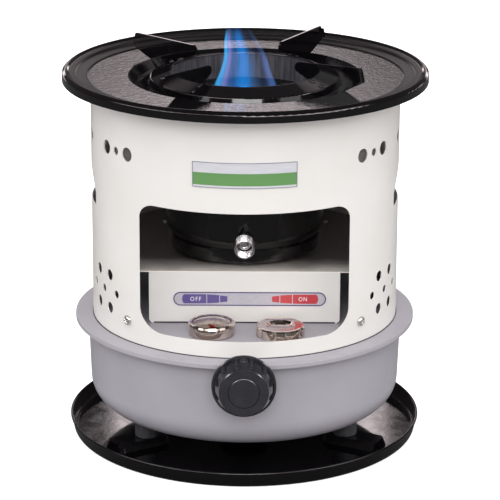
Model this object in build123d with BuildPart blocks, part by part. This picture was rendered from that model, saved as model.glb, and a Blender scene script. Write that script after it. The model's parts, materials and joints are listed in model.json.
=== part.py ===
"""A round kerosene cooking stove with a wick burner, built piece by piece.

Millimetres. The origin is on the ground at the stove's vertical axis, +Z is up and the front, with the
window and the knob, faces -Y. The wick stands raised and the burner, trays and cap are in place.
"""

import os
from math import asin, atan2, cos, pi, radians, sin, sqrt, tan

from build123d import *

os.makedirs("parts", exist_ok=True)

# Driving sizes of the round shells, as outer radii.
top_tray_radius = 155.0
base_tray_radius = 152.4
brim_radius = 146.4
tank_radius = 135.6
casing_radius = 131.2
drum_radius = 67.5

# Heights above the ground.
pad_top = 8.0
tank_floor = 26.0
shaft_height = 89.8
brim_top = 106.6
tank_top_height = 118.2
deck_top = 163.8
burner_bottom = 167.0
drum_top = 288.0
tray_plate_height = 314.5
trivet_hole_height = 320.0
support_tip_height = 335.9

# Sheet thicknesses.
tray_sheet = 1.0
tank_sheet = 0.8
casing_sheet = 0.8
burner_sheet = 0.8

# The casing's bore and the underside of the top tray that stands on it.
casing_bore = casing_radius - casing_sheet
casing_top = tray_plate_height - tray_sheet

# Where the pieces in front of the deck stand on the tank, and the height of the wick's draught tube.
filler_place = (30.0, -103.0)
gauge_place = (-27.0, -102.0)
panel_front = 75.0
air_tube_bore = 21.2
air_tube_radius = 22.0
guide_tube_bore = 26.6
guide_tube_radius = 27.4


def sheet_section(points, bends, thickness, side=Side.RIGHT):
    """The section of a pressed sheet: its outer line with the bends, and the sheet behind that line."""
    with BuildLine() as outline:
        FilletPolyline(*points, radius=bends)
        offset(amount=thickness, side=side)
    make_face(outline.edges())


def tube(inner, outer, low, high, centre=(0, 0), mode=Mode.ADD):
    """An upright tube between two heights, or a round bar where the inner radius is zero."""
    with BuildSketch(Plane.XY.offset(low)) as ring:
        with Locations(centre):
            Circle(outer)
            if inner > 0:
                Circle(inner, mode=Mode.SUBTRACT)
    extrude(ring.sketch, amount=high - low, mode=mode)


def radial_plane(azimuth, radius, height):
    """A plane that faces outwards on a cylinder, azimuth in degrees from the front towards +X."""
    outward = Vector(sin(radians(azimuth)), -cos(radians(azimuth)), 0)
    across = Vector(cos(radians(azimuth)), sin(radians(azimuth)), 0)
    return Plane(origin=outward * radius + Vector(0, 0, height), x_dir=across, z_dir=outward)


def turned(points, height):
    """Adds a piece turned about a level axis to the front, from its section as distance out and radius."""
    with BuildSketch(Plane(origin=(0, 0, height), x_dir=(0, -1, 0), z_dir=(1, 0, 0))) as section:
        with BuildLine():
            Polyline(*points, close=True)
        make_face()
    revolve(section.sketch, axis=Axis((0, 0, height), (0, 1, 0)))


def shaft_plane(distance):
    """The upright plane square to the knob's shaft, that far in front of the stove's axis."""
    return Plane(origin=(0, -distance, shaft_height), x_dir=(1, 0, 0), z_dir=(0, -1, 0))


# The drip tray under the stove, black enamel, with a rolled rim and three raised pads for the feet.
rim_roll = 0.95
pad_length = 55.0
pad_width = 26.0
pad_rise = pad_top - tray_sheet
foot_circle = 98.5
pad_circle = 107.5
foot_azimuths = {"right": 62.0, "back": 180.0, "left": -58.0}
screw_radius = 2.0
foot_screw_head = 2.2

with BuildPart() as base_tray:
    with BuildSketch(Plane.XZ):
        sheet_section([(0, tray_sheet), (148.2, tray_sheet), (150.6, 12.6)], 2.5, tray_sheet)
        with Locations((base_tray_radius - rim_roll, 12.6)):
            Circle(rim_roll)
    revolve(axis=Axis.Z)
    for azimuth in foot_azimuths.values():
        with BuildSketch(Plane.XY):
            with PolarLocations(pad_circle, 1, start_angle=azimuth - 90):
                RectangleRounded(pad_length, pad_width, 8)
        extrude(amount=pad_top, taper=20)
    for azimuth in foot_azimuths.values():
        with BuildSketch(Plane.XY):
            with PolarLocations(pad_circle, 1, start_angle=azimuth - 90):
                RectangleRounded(pad_length - 2 * tray_sheet, pad_width - 2 * tray_sheet, 7)
        extrude(amount=pad_rise, taper=20, mode=Mode.SUBTRACT)
        with BuildSketch(Plane.XY):
            with PolarLocations(foot_circle, 1, start_angle=azimuth - 90):
                Circle(screw_radius)
        extrude(amount=pad_top, mode=Mode.SUBTRACT)
base_tray.part.label = "base_tray"
export_step(base_tray.part, "parts/base_tray.step")

# Three round rubber feet stand on the pads and carry the tank, each held by a screw from below.
foot_radius = 10.2

for side_name, azimuth in foot_azimuths.items():
    with BuildPart() as foot:
        with BuildSketch(Plane.XY.offset(pad_top)):
            with PolarLocations(foot_circle, 1, start_angle=azimuth - 90):
                Circle(foot_radius)
                Circle(screw_radius, mode=Mode.SUBTRACT)
        extrude(amount=tank_floor - pad_top)
        chamfer(foot.edges().filter_by(GeomType.CIRCLE).group_by(SortBy.RADIUS)[-1], 0.8)
    foot.part.label = "foot_" + side_name
    export_step(foot.part, "parts/foot_" + side_name + ".step")

with BuildPart() as foot_screws:
    for azimuth in foot_azimuths.values():
        with BuildSketch(Plane.XY.offset(pad_rise)):
            with PolarLocations(foot_circle, 1, start_angle=azimuth - 90):
                Circle(screw_radius)
        extrude(amount=tank_floor - pad_rise)
        with BuildSketch(Plane.XY.offset(pad_rise - foot_screw_head)):
            with PolarLocations(foot_circle, 1, start_angle=azimuth - 90):
                Circle(2 * screw_radius)
        extrude(amount=foot_screw_head)
foot_screws.part.label = "foot_screws"
export_step(foot_screws.part, "parts/foot_screws.step")

# The fuel tank's deep drawn pan. Its flange lies under the brim, its floor opens to the draught tube
# and its front wall has the hole for the winder's gland.
flange_under = brim_top - 2 * tank_sheet
gland_radius = 7.0

with BuildPart() as tank_pan:
    with BuildSketch(Plane.XZ):
        sheet_section(
            [
                (air_tube_radius, tank_floor),
                (132.8, tank_floor),
                (tank_radius, flange_under),
                (brim_radius - 1.2, flange_under),
            ],
            [24, 1.2],
            tank_sheet,
            Side.LEFT,
        )
    revolve(axis=Axis.Z)
    with BuildSketch(shaft_plane(120)):
        Circle(gland_radius)
    extrude(amount=30, mode=Mode.SUBTRACT)
tank_pan.part.label = "tank_pan"
export_step(tank_pan.part, "parts/tank_pan.step")

# The tank's lid: a raised round table inside the casing, a step, and the brim with its turned-down lip.
table_radius = 128.2
filler_hole = 15.2
gauge_hole = 12.8

with BuildPart() as tank_top:
    with BuildSketch(Plane.XZ):
        sheet_section(
            [
                (guide_tube_radius, tank_top_height),
                (table_radius, tank_top_height),
                (table_radius + 1.2, brim_top),
                (brim_radius, brim_top),
                (brim_radius, brim_top - 4.2),
            ],
            [1.5, 1.0, 1.0],
            tank_sheet,
        )
    revolve(axis=Axis.Z)
    with BuildSketch(Plane.XY.offset(tank_top_height)):
        with Locations(filler_place):
            Circle(filler_hole)
        with Locations(gauge_place):
            Circle(gauge_hole)
    extrude(amount=-5, mode=Mode.SUBTRACT)
tank_top.part.label = "tank_top"
export_step(tank_top.part, "parts/tank_top.step")

# The central draught tube, open below the tank, and the tube round it that guides the wick.
air_tube_top = 190.0
guide_tube_low = 112.0
guide_tube_top = 188.0

with BuildPart() as air_tube:
    tube(air_tube_bore, air_tube_radius, tank_floor, air_tube_top)
air_tube.part.label = "air_tube"
export_step(air_tube.part, "parts/air_tube.step")

with BuildPart() as wick_guide_tube:
    tube(guide_tube_bore, guide_tube_radius, guide_tube_low, guide_tube_top)
wick_guide_tube.part.label = "wick_guide_tube"
export_step(wick_guide_tube.part, "parts/wick_guide_tube.step")

# The seat that the burner rests on, a flanged collar on the guide tube.
with BuildPart() as burner_seat:
    tube(guide_tube_radius, guide_tube_radius + 1.0, burner_bottom - 12, burner_bottom)
    tube(guide_tube_radius, 40.0, burner_bottom - burner_sheet, burner_bottom)
burner_seat.part.label = "burner_seat"
export_step(burner_seat.part, "parts/burner_seat.step")

# The round wick of glass fibre between the two tubes, standing 8 mm above the air tube when raised.
wick_bore = air_tube_radius + 0.35
wick_radius = guide_tube_bore - 0.45
wick_low = 62.0
wick_top = 198.0

with BuildPart() as wick:
    tube(wick_bore, wick_radius, wick_low, wick_top)
wick.part.label = "wick"
export_step(wick.part, "parts/wick.step")

# The wick's carrier: a sleeve clamped on the wick below the guide tube, with an upright rack whose
# teeth face +X and mesh with the winder's pinion. Both have straight 20 degree flanks on the rack
# and true rolling flanks on the pinion, with slack between them.
tooth_module = 1.0
pinion_teeth = 10
pinion_pitch_radius = tooth_module * pinion_teeth / 2
tooth_pitch = pi * tooth_module
pressure_angle = radians(20)
rack_addendum = 0.6
rack_dedendum = 1.3
tooth_slack = 0.3
gear_back = 28.6
gear_front = 34.0
rack_low = 79.0
rack_top = 108.5
rack_back = 3.2
carrier_radius = wick_radius + 1.0

with BuildPart() as wick_carrier:
    tube(wick_radius, carrier_radius, 70.0, 96.0)
    rack_root = -pinion_pitch_radius - rack_dedendum
    with BuildSketch(Plane.XZ.offset(gear_back)):
        with BuildLine():
            Polyline(
                (rack_root - rack_back, rack_low),
                (rack_root, rack_low),
                (rack_root, rack_top),
                (rack_root - rack_back, rack_top),
                close=True,
            )
        make_face()
        tip_half = tooth_pitch / 4 - rack_addendum * tan(pressure_angle) - tooth_slack / 2
        root_half = tooth_pitch / 4 + rack_dedendum * tan(pressure_angle) - tooth_slack / 2
        for tooth in range(-3, 6):
            tooth_height = shaft_height + tooth * tooth_pitch
            with BuildLine():
                Polyline(
                    (rack_root - 0.1, tooth_height - root_half),
                    (-pinion_pitch_radius + rack_addendum, tooth_height - tip_half),
                    (-pinion_pitch_radius + rack_addendum, tooth_height + tip_half),
                    (rack_root - 0.1, tooth_height + root_half),
                    close=True,
                )
            make_face()
    extrude(amount=gear_front - gear_back)
    with BuildSketch(Plane.XY.offset(rack_low)):
        with Locations((rack_root - rack_back / 2, -gear_back + 2.0)):
            Rectangle(rack_back, 4.0)
    extrude(amount=96.0 - rack_low)
    tube(0, wick_radius, rack_low - 1, 97.0, mode=Mode.SUBTRACT)
wick_carrier.part.label = "wick_carrier"
export_step(wick_carrier.part, "parts/wick_carrier.step")

# The winder: a shaft from the knob through the gland to a small pinion beside the wick.
shaft_radius = 2.5
shaft_front = 163.0


def involute_point(base_radius, radius, start_angle, hand):
    """The point at a radius on the involute of a circle that leaves it at start_angle."""
    roll = sqrt((radius / base_radius) ** 2 - 1)
    angle = start_angle + hand * (roll - atan2(roll, 1))
    return (radius * cos(angle), radius * sin(angle))


with BuildPart() as winder_pinion:
    base_radius = pinion_pitch_radius * cos(pressure_angle)
    pinion_tip = pinion_pitch_radius + 0.95
    pinion_foot = pinion_pitch_radius - 1.0
    base_half = pi / 2 / pinion_teeth + tan(pressure_angle) - pressure_angle
    flank_radii = [base_radius, (base_radius + pinion_tip) / 2, pinion_tip]
    with BuildSketch(shaft_plane(gear_back)):
        Circle(pinion_foot)
        for tooth in range(pinion_teeth):
            middle = (tooth + 0.5) * 2 * pi / pinion_teeth
            lower = [involute_point(base_radius, r, middle - base_half, 1) for r in flank_radii]
            upper = [involute_point(base_radius, r, middle + base_half, -1) for r in flank_radii]
            with BuildLine():
                Polyline((0, 0), lower[0])
                ThreePointArc(*lower)
                Line(lower[2], upper[2])
                ThreePointArc(upper[2], upper[1], upper[0])
                Line(upper[0], (0, 0))
            make_face()
        Circle(shaft_radius, mode=Mode.SUBTRACT)
    extrude(amount=gear_front - gear_back)
winder_pinion.part.label = "winder_pinion"
export_step(winder_pinion.part, "parts/winder_pinion.step")

with BuildPart() as winder_shaft:
    with BuildSketch(shaft_plane(gear_back)):
        Circle(shaft_radius)
    extrude(amount=shaft_front - gear_back)
winder_shaft.part.label = "winder_shaft"
export_step(winder_shaft.part, "parts/winder_shaft.step")

# The gland that lets the shaft through the tank's wall: a flanged bush, its packing and its nut.
gland_bore = shaft_radius + 0.05
gland_front = 142.0
packing_radius = 5.0
packing_back = 136.0
nut_across_flats = 17.0
nut_back = 138.0

with BuildPart() as gland_bush:
    turned(
        [
            (128, gland_bore),
            (packing_back, gland_bore),
            (packing_back, packing_radius),
            (gland_front, packing_radius),
            (gland_front, gland_radius - 0.4),
            (137.2, gland_radius - 0.4),
            (137.2, 10),
            (135.4, 10),
            (135.4, gland_radius),
            (128, gland_radius),
        ],
        shaft_height,
    )
gland_bush.part.label = "gland_bush"
export_step(gland_bush.part, "parts/gland_bush.step")

with BuildPart() as gland_packing:
    turned(
        [
            (packing_back, gland_bore),
            (gland_front - 1, gland_bore),
            (gland_front - 1, packing_radius),
            (packing_back, packing_radius),
        ],
        shaft_height,
    )
gland_packing.part.label = "gland_packing"
export_step(gland_packing.part, "parts/gland_packing.step")

with BuildPart() as gland_nut:
    with BuildSketch(shaft_plane(nut_back)):
        RegularPolygon(nut_across_flats / 2, 6, major_radius=False)
        Circle(gland_radius - 0.4, mode=Mode.SUBTRACT)
    extrude(amount=gland_front - nut_back)
    with BuildSketch(shaft_plane(gland_front)):
        RegularPolygon(nut_across_flats / 2, 6, major_radius=False)
        Circle(gland_bore, mode=Mode.SUBTRACT)
    extrude(amount=4)
    chamfer(gland_nut.faces().sort_by(Axis.Y)[0].outer_wire().edges(), 0.8)
gland_nut.part.label = "gland_nut"
export_step(gland_nut.part, "parts/gland_nut.step")

# The black knob: a round skirt, a grip with twelve flutes that run out before the front face, and a
# cap disc set in that face.
knob_back = 148.5
knob_front = 167.0
knob_flutes = 12
cap_disc_radius = 12.6

with BuildPart() as knob:
    turned(
        [
            (knob_back, 0),
            (knob_back, 26.0),
            (149.1, 26.6),
            (150.8, 26.6),
            (151.6, 25.9),
            (151.6, 24.7),
            (150.6, 24.2),
            (150.6, 23.6),
            (157.0, 23.4),
            (knob_front - 0.8, 20.4),
            (knob_front, 19.6),
            (knob_front, cap_disc_radius + 0.5),
            (knob_front - 1, cap_disc_radius),
            (knob_front - 1, 0),
        ],
        shaft_height,
    )
    with BuildSketch(shaft_plane(150.6)):
        with PolarLocations(24.6, knob_flutes, start_angle=15):
            Circle(3.6)
        Circle(24.2, mode=Mode.INTERSECT)
    extrude(amount=knob_front - 150.6, mode=Mode.SUBTRACT)
    with BuildSketch(shaft_plane(knob_back)):
        Circle(shaft_radius)
    extrude(amount=shaft_front - knob_back, mode=Mode.SUBTRACT)
knob.part.label = "knob"
export_step(knob.part, "parts/knob.step")

with BuildPart() as knob_cap:
    turned(
        [
            (knob_front - 1, 0),
            (knob_front - 1, cap_disc_radius),
            (knob_front + 0.1, cap_disc_radius),
            (knob_front + 0.5, cap_disc_radius - 0.6),
            (knob_front + 0.5, 0),
        ],
        shaft_height,
    )
knob_cap.part.label = "knob_cap"
export_step(knob_cap.part, "parts/knob_cap.step")

# The filler: a neck through the tank's lid, a gasket and a fluted pressed cap that screws over it.
neck_radius = filler_hole
neck_bore = 13.2
neck_top = 123.0
gasket_top = neck_top + 1.2
cap_radius = 20.4
cap_low = tank_top_height + 0.5
cap_top = 127.0
cap_flutes = 10
cap_plane = Plane(origin=(filler_place[0], filler_place[1], 0), x_dir=(1, 0, 0), z_dir=(0, -1, 0))
cap_axis = Axis((filler_place[0], filler_place[1], 0), (0, 0, 1))

with BuildPart() as filler_neck:
    tube(neck_bore, neck_radius, guide_tube_low, neck_top, filler_place)
filler_neck.part.label = "filler_neck"
export_step(filler_neck.part, "parts/filler_neck.step")

with BuildPart() as filler_gasket:
    tube(neck_bore, neck_radius - 0.2, neck_top, gasket_top, filler_place)
filler_gasket.part.label = "filler_gasket"
export_step(filler_gasket.part, "parts/filler_gasket.step")

with BuildPart() as filler_cap:
    with BuildSketch(cap_plane):
        with BuildLine():
            Polyline(
                (0, gasket_top - 0.7),
                (9.6, gasket_top - 0.7),
                (11.4, gasket_top),
                (neck_radius + 0.3, gasket_top),
                (neck_radius + 0.3, cap_low),
                (cap_radius, cap_low),
                (cap_radius, cap_top - 1.4),
                (cap_radius - 1.2, cap_top - 0.2),
                (cap_radius - 2.6, cap_top),
                (12.2, cap_top - 0.4),
                (10.2, gasket_top + 0.3),
                (0, gasket_top + 0.3),
                close=True,
            )
        make_face()
    revolve(axis=cap_axis)
    with BuildSketch(Plane.XY.offset(cap_low)):
        with Locations(filler_place):
            with PolarLocations(cap_radius + 3.6, cap_flutes):
                Circle(4.8)
    extrude(amount=cap_top - cap_low, mode=Mode.SUBTRACT)
filler_cap.part.label = "filler_cap"
export_step(filler_cap.part, "parts/filler_cap.step")

# The fuel gauge beside it: a float on a twisted strip turns a needle over a dial, under a domed
# lens in a chromed bezel. Two rods with a foot plate guide the float.
gauge_radius = 19.5
gauge_base_radius = 17.9
lens_radius = 17.3
dial_height = 123.1
float_radius = 11.0
float_low = 31.0
float_height = 8.0
rod_spread = 7.5
gauge_axis = Axis((gauge_place[0], gauge_place[1], 0), (0, 0, 1))
gauge_plane = Plane(origin=(gauge_place[0], gauge_place[1], 0), x_dir=(1, 0, 0), z_dir=(0, -1, 0))
rod_places = [(gauge_place[0] + side * rod_spread, gauge_place[1]) for side in (-1, 1)]

with BuildPart() as gauge_gasket:
    tube(gauge_hole, gauge_base_radius, tank_top_height, tank_top_height + 0.8, gauge_place)
gauge_gasket.part.label = "gauge_gasket"
export_step(gauge_gasket.part, "parts/gauge_gasket.step")

with BuildPart() as gauge_base:
    tube(0, gauge_base_radius, tank_top_height + 0.8, dial_height - 0.8, gauge_place)
    tube(0, gauge_hole, guide_tube_low, tank_top_height + 0.8, gauge_place)
    tube(0, 2.2, guide_tube_low, dial_height, gauge_place, mode=Mode.SUBTRACT)
gauge_base.part.label = "gauge_base"
export_step(gauge_base.part, "parts/gauge_base.step")

with BuildPart() as gauge_dial:
    tube(2.2, lens_radius, dial_height - 0.8, dial_height, gauge_place)
gauge_dial.part.label = "gauge_dial"
export_step(gauge_dial.part, "parts/gauge_dial.step")

lens_edge = 126.9
with BuildPart() as gauge_bezel:
    with BuildSketch(gauge_plane):
        with BuildLine():
            Polyline(
                (gauge_base_radius, tank_top_height + 0.8),
                (gauge_radius - 0.6, tank_top_height + 0.8),
                (gauge_radius - 0.6, lens_edge - 2.8),
                (gauge_radius, lens_edge - 1.8),
                (gauge_radius, lens_edge + 0.2),
                (gauge_radius - 0.7, lens_edge + 1.8),
                (gauge_radius - 1.8, lens_edge + 2.2),
                (16.4, lens_edge + 1.9),
                (16.4, lens_edge + 1.4),
                (lens_radius, lens_edge + 1.2),
                (lens_radius, lens_edge),
                (16.4, lens_edge),
                (16.4, dial_height),
                (gauge_base_radius, dial_height),
                close=True,
            )
        make_face()
    revolve(axis=gauge_axis)
gauge_bezel.part.label = "gauge_bezel"
export_step(gauge_bezel.part, "parts/gauge_bezel.step")


def dome_arc(edge_radius, edge_height, rise):
    """Half of a dome's section, from its edge to its top on the axis, where it is level."""
    bend = (edge_radius**2 + rise**2) / 2 / rise
    half_angle = asin(edge_radius / bend) / 2
    middle = (bend * sin(half_angle), edge_height + rise - bend * (1 - cos(half_angle)))
    ThreePointArc((edge_radius, edge_height), middle, (0, edge_height + rise))


# The lens is a flat rim and a shallow dome, 1.2 mm thick.
lens_rise = 3.0
lens_sheet = 1.2

with BuildPart() as gauge_lens:
    with BuildSketch(gauge_plane):
        with BuildLine():
            Line((lens_radius, lens_edge), (16.0, lens_edge))
            dome_arc(16.0, lens_edge, lens_rise)
            Line((0, lens_edge + lens_rise), (0, lens_edge + lens_sheet + lens_rise))
            dome_arc(16.4, lens_edge + lens_sheet, lens_rise)
            Line((16.4, lens_edge + lens_sheet), (lens_radius, lens_edge + lens_sheet))
            Line((lens_radius, lens_edge + lens_sheet), (lens_radius, lens_edge))
        make_face()
    revolve(axis=gauge_axis)
gauge_lens.part.label = "gauge_lens"
export_step(gauge_lens.part, "parts/gauge_lens.step")

# The needle points to the dial's empty end at rest. Its spindle is the twisted strip in the float.
with BuildPart() as gauge_needle:
    tube(0, 1.9, dial_height + 0.4, dial_height + 1.6, gauge_place)
    with BuildSketch(Plane(origin=(gauge_place[0], gauge_place[1], dial_height + 0.6))):
        with BuildLine():
            Polyline((-3.0, 5.0), (-1.4, 6.0), (9.2, -9.9), (8.6, -10.3), close=True)
        make_face()
    extrude(amount=0.5)
    tube(0, 1.2, 34.0, dial_height + 0.4, gauge_place)
gauge_needle.part.label = "gauge_needle"
export_step(gauge_needle.part, "parts/gauge_needle.step")

with BuildPart() as gauge_guide:
    for place in rod_places:
        tube(0, 1.2, 29.4, guide_tube_low, place)
    with BuildSketch(Plane.XY.offset(28.4)):
        with Locations(gauge_place):
            SlotOverall(2 * rod_spread + 6, 6)
    extrude(amount=1.6)
gauge_guide.part.label = "gauge_guide"
export_step(gauge_guide.part, "parts/gauge_guide.step")

with BuildPart() as gauge_float:
    tube(0, float_radius, float_low, float_low + float_height, gauge_place)
    fillet(gauge_float.edges().filter_by(GeomType.CIRCLE), 2.0)
    for place in rod_places + [gauge_place]:
        tube(0, 1.6, float_low, float_low + float_height, place, mode=Mode.SUBTRACT)
gauge_float.part.label = "gauge_float"
export_step(gauge_float.part, "parts/gauge_float.step")

# The deck under the burner is a bright metal plate as wide as the casing, cut straight at the front.
# A white panel folded from sheet carries that edge and hides the wick's tubes, and two legs carry
# the back.
deck_sheet = 0.8
deck_low = deck_top - deck_sheet
panel_half_width = 80.0
panel_return = 12.0
leg_place = (70.0, 68.0)
leg_width = 16.0
deck_screw_places = [(side * leg_place[0], leg_place[1]) for side in (-1, 1)]

with BuildPart() as deck_plate:
    tube(46.0, casing_bore - 0.4, deck_low, deck_top)
    with BuildSketch(Plane.XY.offset(deck_low)):
        with Locations((0, -panel_front - 50)):
            Rectangle(2 * casing_radius, 100)
        with Locations(*deck_screw_places):
            Circle(1.6)
    extrude(amount=deck_sheet, mode=Mode.SUBTRACT)
deck_plate.part.label = "deck_plate"
export_step(deck_plate.part, "parts/deck_plate.step")

with BuildPart() as deck_panel:
    with BuildSketch(Plane.XZ.offset(panel_front - deck_sheet)):
        with Locations((0, (tank_top_height + deck_low) / 2)):
            Rectangle(2 * panel_half_width, deck_low - tank_top_height)
    extrude(amount=deck_sheet)
    fillet(deck_panel.edges().filter_by(Axis.Y).group_by(Axis.Z)[0], 4.0)
    with BuildSketch(Plane.XY.offset(deck_low)):
        with Locations((0, -panel_front + panel_return / 2)):
            Rectangle(2 * panel_half_width, panel_return)
    extrude(amount=-deck_sheet)
    for side in (-1, 1):
        with BuildSketch(Plane.XY.offset(tank_top_height + 8)):
            with Locations((side * (panel_half_width - deck_sheet / 2), -panel_front + panel_return / 2)):
                Rectangle(deck_sheet, panel_return)
        extrude(amount=deck_low - tank_top_height - 8)
deck_panel.part.label = "deck_panel"
export_step(deck_panel.part, "parts/deck_panel.step")

for side_name, side in (("left", -1), ("right", 1)):
    with BuildPart() as deck_leg:
        with BuildSketch(Plane.XZ.offset(-leg_place[1] - 6)):
            with Locations((side * leg_place[0], (tank_top_height + deck_low) / 2)):
                Rectangle(leg_width, deck_low - tank_top_height)
        extrude(amount=-1.0)
        for flange_height in (tank_top_height, deck_low - 1.0):
            with BuildSketch(Plane.XY.offset(flange_height)):
                with Locations((side * leg_place[0], leg_place[1])):
                    Rectangle(leg_width, 14)
            extrude(amount=1.0)
        with BuildSketch(Plane.XY.offset(deck_low - 1.0)):
            with Locations((side * leg_place[0], leg_place[1])):
                Circle(1.6)
        extrude(amount=1.0, mode=Mode.SUBTRACT)
    deck_leg.part.label = "deck_leg_" + side_name
    export_step(deck_leg.part, "parts/deck_leg_" + side_name + ".step")

with BuildPart() as deck_screws:
    for place in deck_screw_places:
        tube(0, 1.6, deck_low - 5, deck_top, place)
        tube(0, 3.4, deck_top, deck_top + 1.8, place)
    fillet(deck_screws.faces().filter_by(Axis.Z).group_by(Axis.Z)[-1].edges(), 1.0)
deck_screws.part.label = "deck_screws"
export_step(deck_screws.part, "parts/deck_screws.step")

# A thin printed label lies on the panel, a little right of its middle.
label_length = 132.0
label_height = 14.4
label_centre = (4.4, 139.6)
label_sheet = 0.25

with BuildPart() as control_label:
    with BuildSketch(Plane.XZ.offset(panel_front)):
        with Locations(label_centre):
            RectangleRounded(label_length, label_height, 7.0)
    extrude(amount=label_sheet)
control_label.part.label = "control_label"
export_step(control_label.part, "parts/control_label.step")

# The white casing. Its shell is the space between two like bodies, so that the hand grips pressed
# into its sides keep the sheet's thickness. Each grip ends in a slot that the fingers reach into.
window_half_width = 86.4
window_low = 120.9
window_top = 230.4
window_top_bend = 12.0
window_low_bend = 20.0
grip_top = 243.0
grip_slot_top = 221.5
grip_slot_low = 210.0
grip_depth = 5.8
grip_half_width = sqrt(casing_radius**2 - (casing_radius - grip_depth) ** 2)
vent_height = 268.3
vent_group_azimuths = (54.0, 86.0, 118.0, 150.0)
vent_step = 6.6
large_vent = 5.9
small_vent = 3.3
side_group_azimuths = (64.2, 115.8)
side_step = 9.5
side_row_heights = (157.6, 143.2, 128.8)
side_large_vent = 4.7
side_small_vent = 3.3
casing_screw_azimuths = (47.7, 132.3)
casing_screw_height = 125.0


def cut_grips(radius):
    """Cuts both sides of a round body of that radius back to the sloping faces of the hand grips."""
    for side in (-1, 1):
        with BuildSketch(Plane.XZ.offset(-60)) as grip:
            with BuildLine():
                Polyline(
                    (side * radius, grip_top),
                    (side * (radius - grip_depth), grip_slot_top),
                    (side * (radius - grip_depth), grip_slot_low),
                    (side * (radius + 10), grip_slot_low),
                    (side * (radius + 10), grip_top),
                    close=True,
                )
            make_face()
        extrude(grip.sketch, amount=120, dir=(0, -1, 0), mode=Mode.SUBTRACT)


def round_vents(azimuths, height, radius):
    """Cuts round vents at one height through both sides of the casing."""
    places = [side * azimuth for azimuth in azimuths for side in (-1, 1)]
    with BuildSketch(*[radial_plane(place, casing_radius + 2, height) for place in places]) as vents:
        Circle(radius)
    for vent in vents.sketch.faces():
        extrude(vent, amount=-8, mode=Mode.SUBTRACT)


def steps_from(groups, steps):
    """The azimuths a few steps to each side of the middle of every group of vents."""
    return [group + step for group in groups for step in steps]


with BuildPart() as casing_hollow:
    tube(0, casing_bore, brim_top, casing_top)
    cut_grips(casing_bore)

with BuildPart() as casing:
    tube(0, casing_radius, brim_top, casing_top)
    cut_grips(casing_radius)
    add(casing_hollow.part, mode=Mode.SUBTRACT)
    for side in (-1, 1):
        with BuildSketch(Plane.YZ.offset(side * (casing_radius + 2))):
            with Locations((0, (grip_slot_top + grip_slot_low) / 2)):
                Rectangle(2 * grip_half_width, grip_slot_top - grip_slot_low)
        extrude(amount=-side * (grip_depth + 6), mode=Mode.SUBTRACT)
    with BuildSketch(Plane.XZ.offset(60)) as window:
        with Locations((0, (window_low + window_top) / 2)):
            Rectangle(2 * window_half_width, window_top - window_low)
        fillet(window.vertices().group_by(Axis.Y)[-1], window_top_bend)
        fillet(window.vertices().group_by(Axis.Y)[0], window_low_bend)
    extrude(amount=80, mode=Mode.SUBTRACT)
    round_vents(steps_from(vent_group_azimuths, (-vent_step, vent_step)), vent_height, large_vent)
    round_vents(vent_group_azimuths, vent_height, small_vent)
    for height in side_row_heights[::2]:
        row = steps_from(side_group_azimuths, (-side_step / 2, side_step / 2))
        round_vents(row, height, side_large_vent)
    row = steps_from(side_group_azimuths, (-side_step, 0, side_step))
    round_vents(row, side_row_heights[1], side_small_vent)
    round_vents(casing_screw_azimuths, casing_screw_height, screw_radius)
casing.part.label = "casing"
export_step(casing.part, "parts/casing.step")

# Four angle brackets on the tank's table take the casing's screws.
bracket_sheet = 1.2
bracket_width = 16.0
bracket_height = 14.0
bracket_inner = 114.0
bracket_azimuths = {"front_right": 47.7, "back_right": 132.3, "back_left": -132.3, "front_left": -47.7}

for bracket_name, azimuth in bracket_azimuths.items():
    with BuildPart() as casing_bracket:
        bracket_top = tank_top_height + bracket_height
        tube(casing_bore - bracket_sheet, casing_bore, tank_top_height, bracket_top)
        tube(bracket_inner, casing_bore, tank_top_height, tank_top_height + bracket_sheet)
        with BuildSketch(radial_plane(azimuth, 0, 0)):
            with Locations((0, tank_top_height)):
                Rectangle(bracket_width, 3 * bracket_height)
        extrude(amount=casing_radius, mode=Mode.INTERSECT)
        with BuildSketch(radial_plane(azimuth, casing_radius, casing_screw_height)):
            Circle(screw_radius)
        extrude(amount=-8, mode=Mode.SUBTRACT)
    casing_bracket.part.label = "casing_bracket_" + bracket_name
    export_step(casing_bracket.part, "parts/casing_bracket_" + bracket_name + ".step")

screw_head_radius = 4.2
screw_head_height = 2.6

with BuildPart() as casing_screws:
    for azimuth in bracket_azimuths.values():
        with BuildSketch(radial_plane(azimuth, casing_radius - 8, casing_screw_height)):
            Circle(screw_radius)
        extrude(amount=9)
        with BuildSketch(radial_plane(azimuth, casing_radius + 0.05, casing_screw_height)):
            Circle(screw_head_radius)
        extrude(amount=screw_head_height)
        before_head = radial_plane(azimuth, casing_radius + 9, casing_screw_height).origin
        fillet(casing_screws.faces().sort_by_distance(before_head)[0].edges(), 1.6)
casing_screws.part.label = "casing_screws"
export_step(casing_screws.part, "parts/casing_screws.step")

# The nameplate is a thin metal plate bent to the casing, with nothing written on it.
nameplate_width = 85.4
nameplate_height = 21.9
nameplate_centre = 262.6
nameplate_sheet = 0.5

with BuildPart() as nameplate:
    tube(
        casing_radius,
        casing_radius + nameplate_sheet,
        nameplate_centre - nameplate_height,
        nameplate_centre + nameplate_height,
    )
    with BuildSketch(Plane.XZ):
        with Locations((0, nameplate_centre)):
            RectangleRounded(nameplate_width, nameplate_height, 1.2)
    extrude(amount=casing_radius + 2, mode=Mode.INTERSECT)
nameplate.part.label = "nameplate"
export_step(nameplate.part, "parts/nameplate.step")

# A heat shield hangs inside the casing's upper part by its flange.
shield_radius = 120.0
shield_low = 236.0
shield_top = 304.4

with BuildPart() as heat_shield:
    tube(shield_radius - casing_sheet, shield_radius, shield_low, shield_top)
    tube(shield_radius - casing_sheet, casing_bore, shield_top - casing_sheet, shield_top)
heat_shield.part.label = "heat_shield"
export_step(heat_shield.part, "parts/heat_shield.step")

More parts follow.
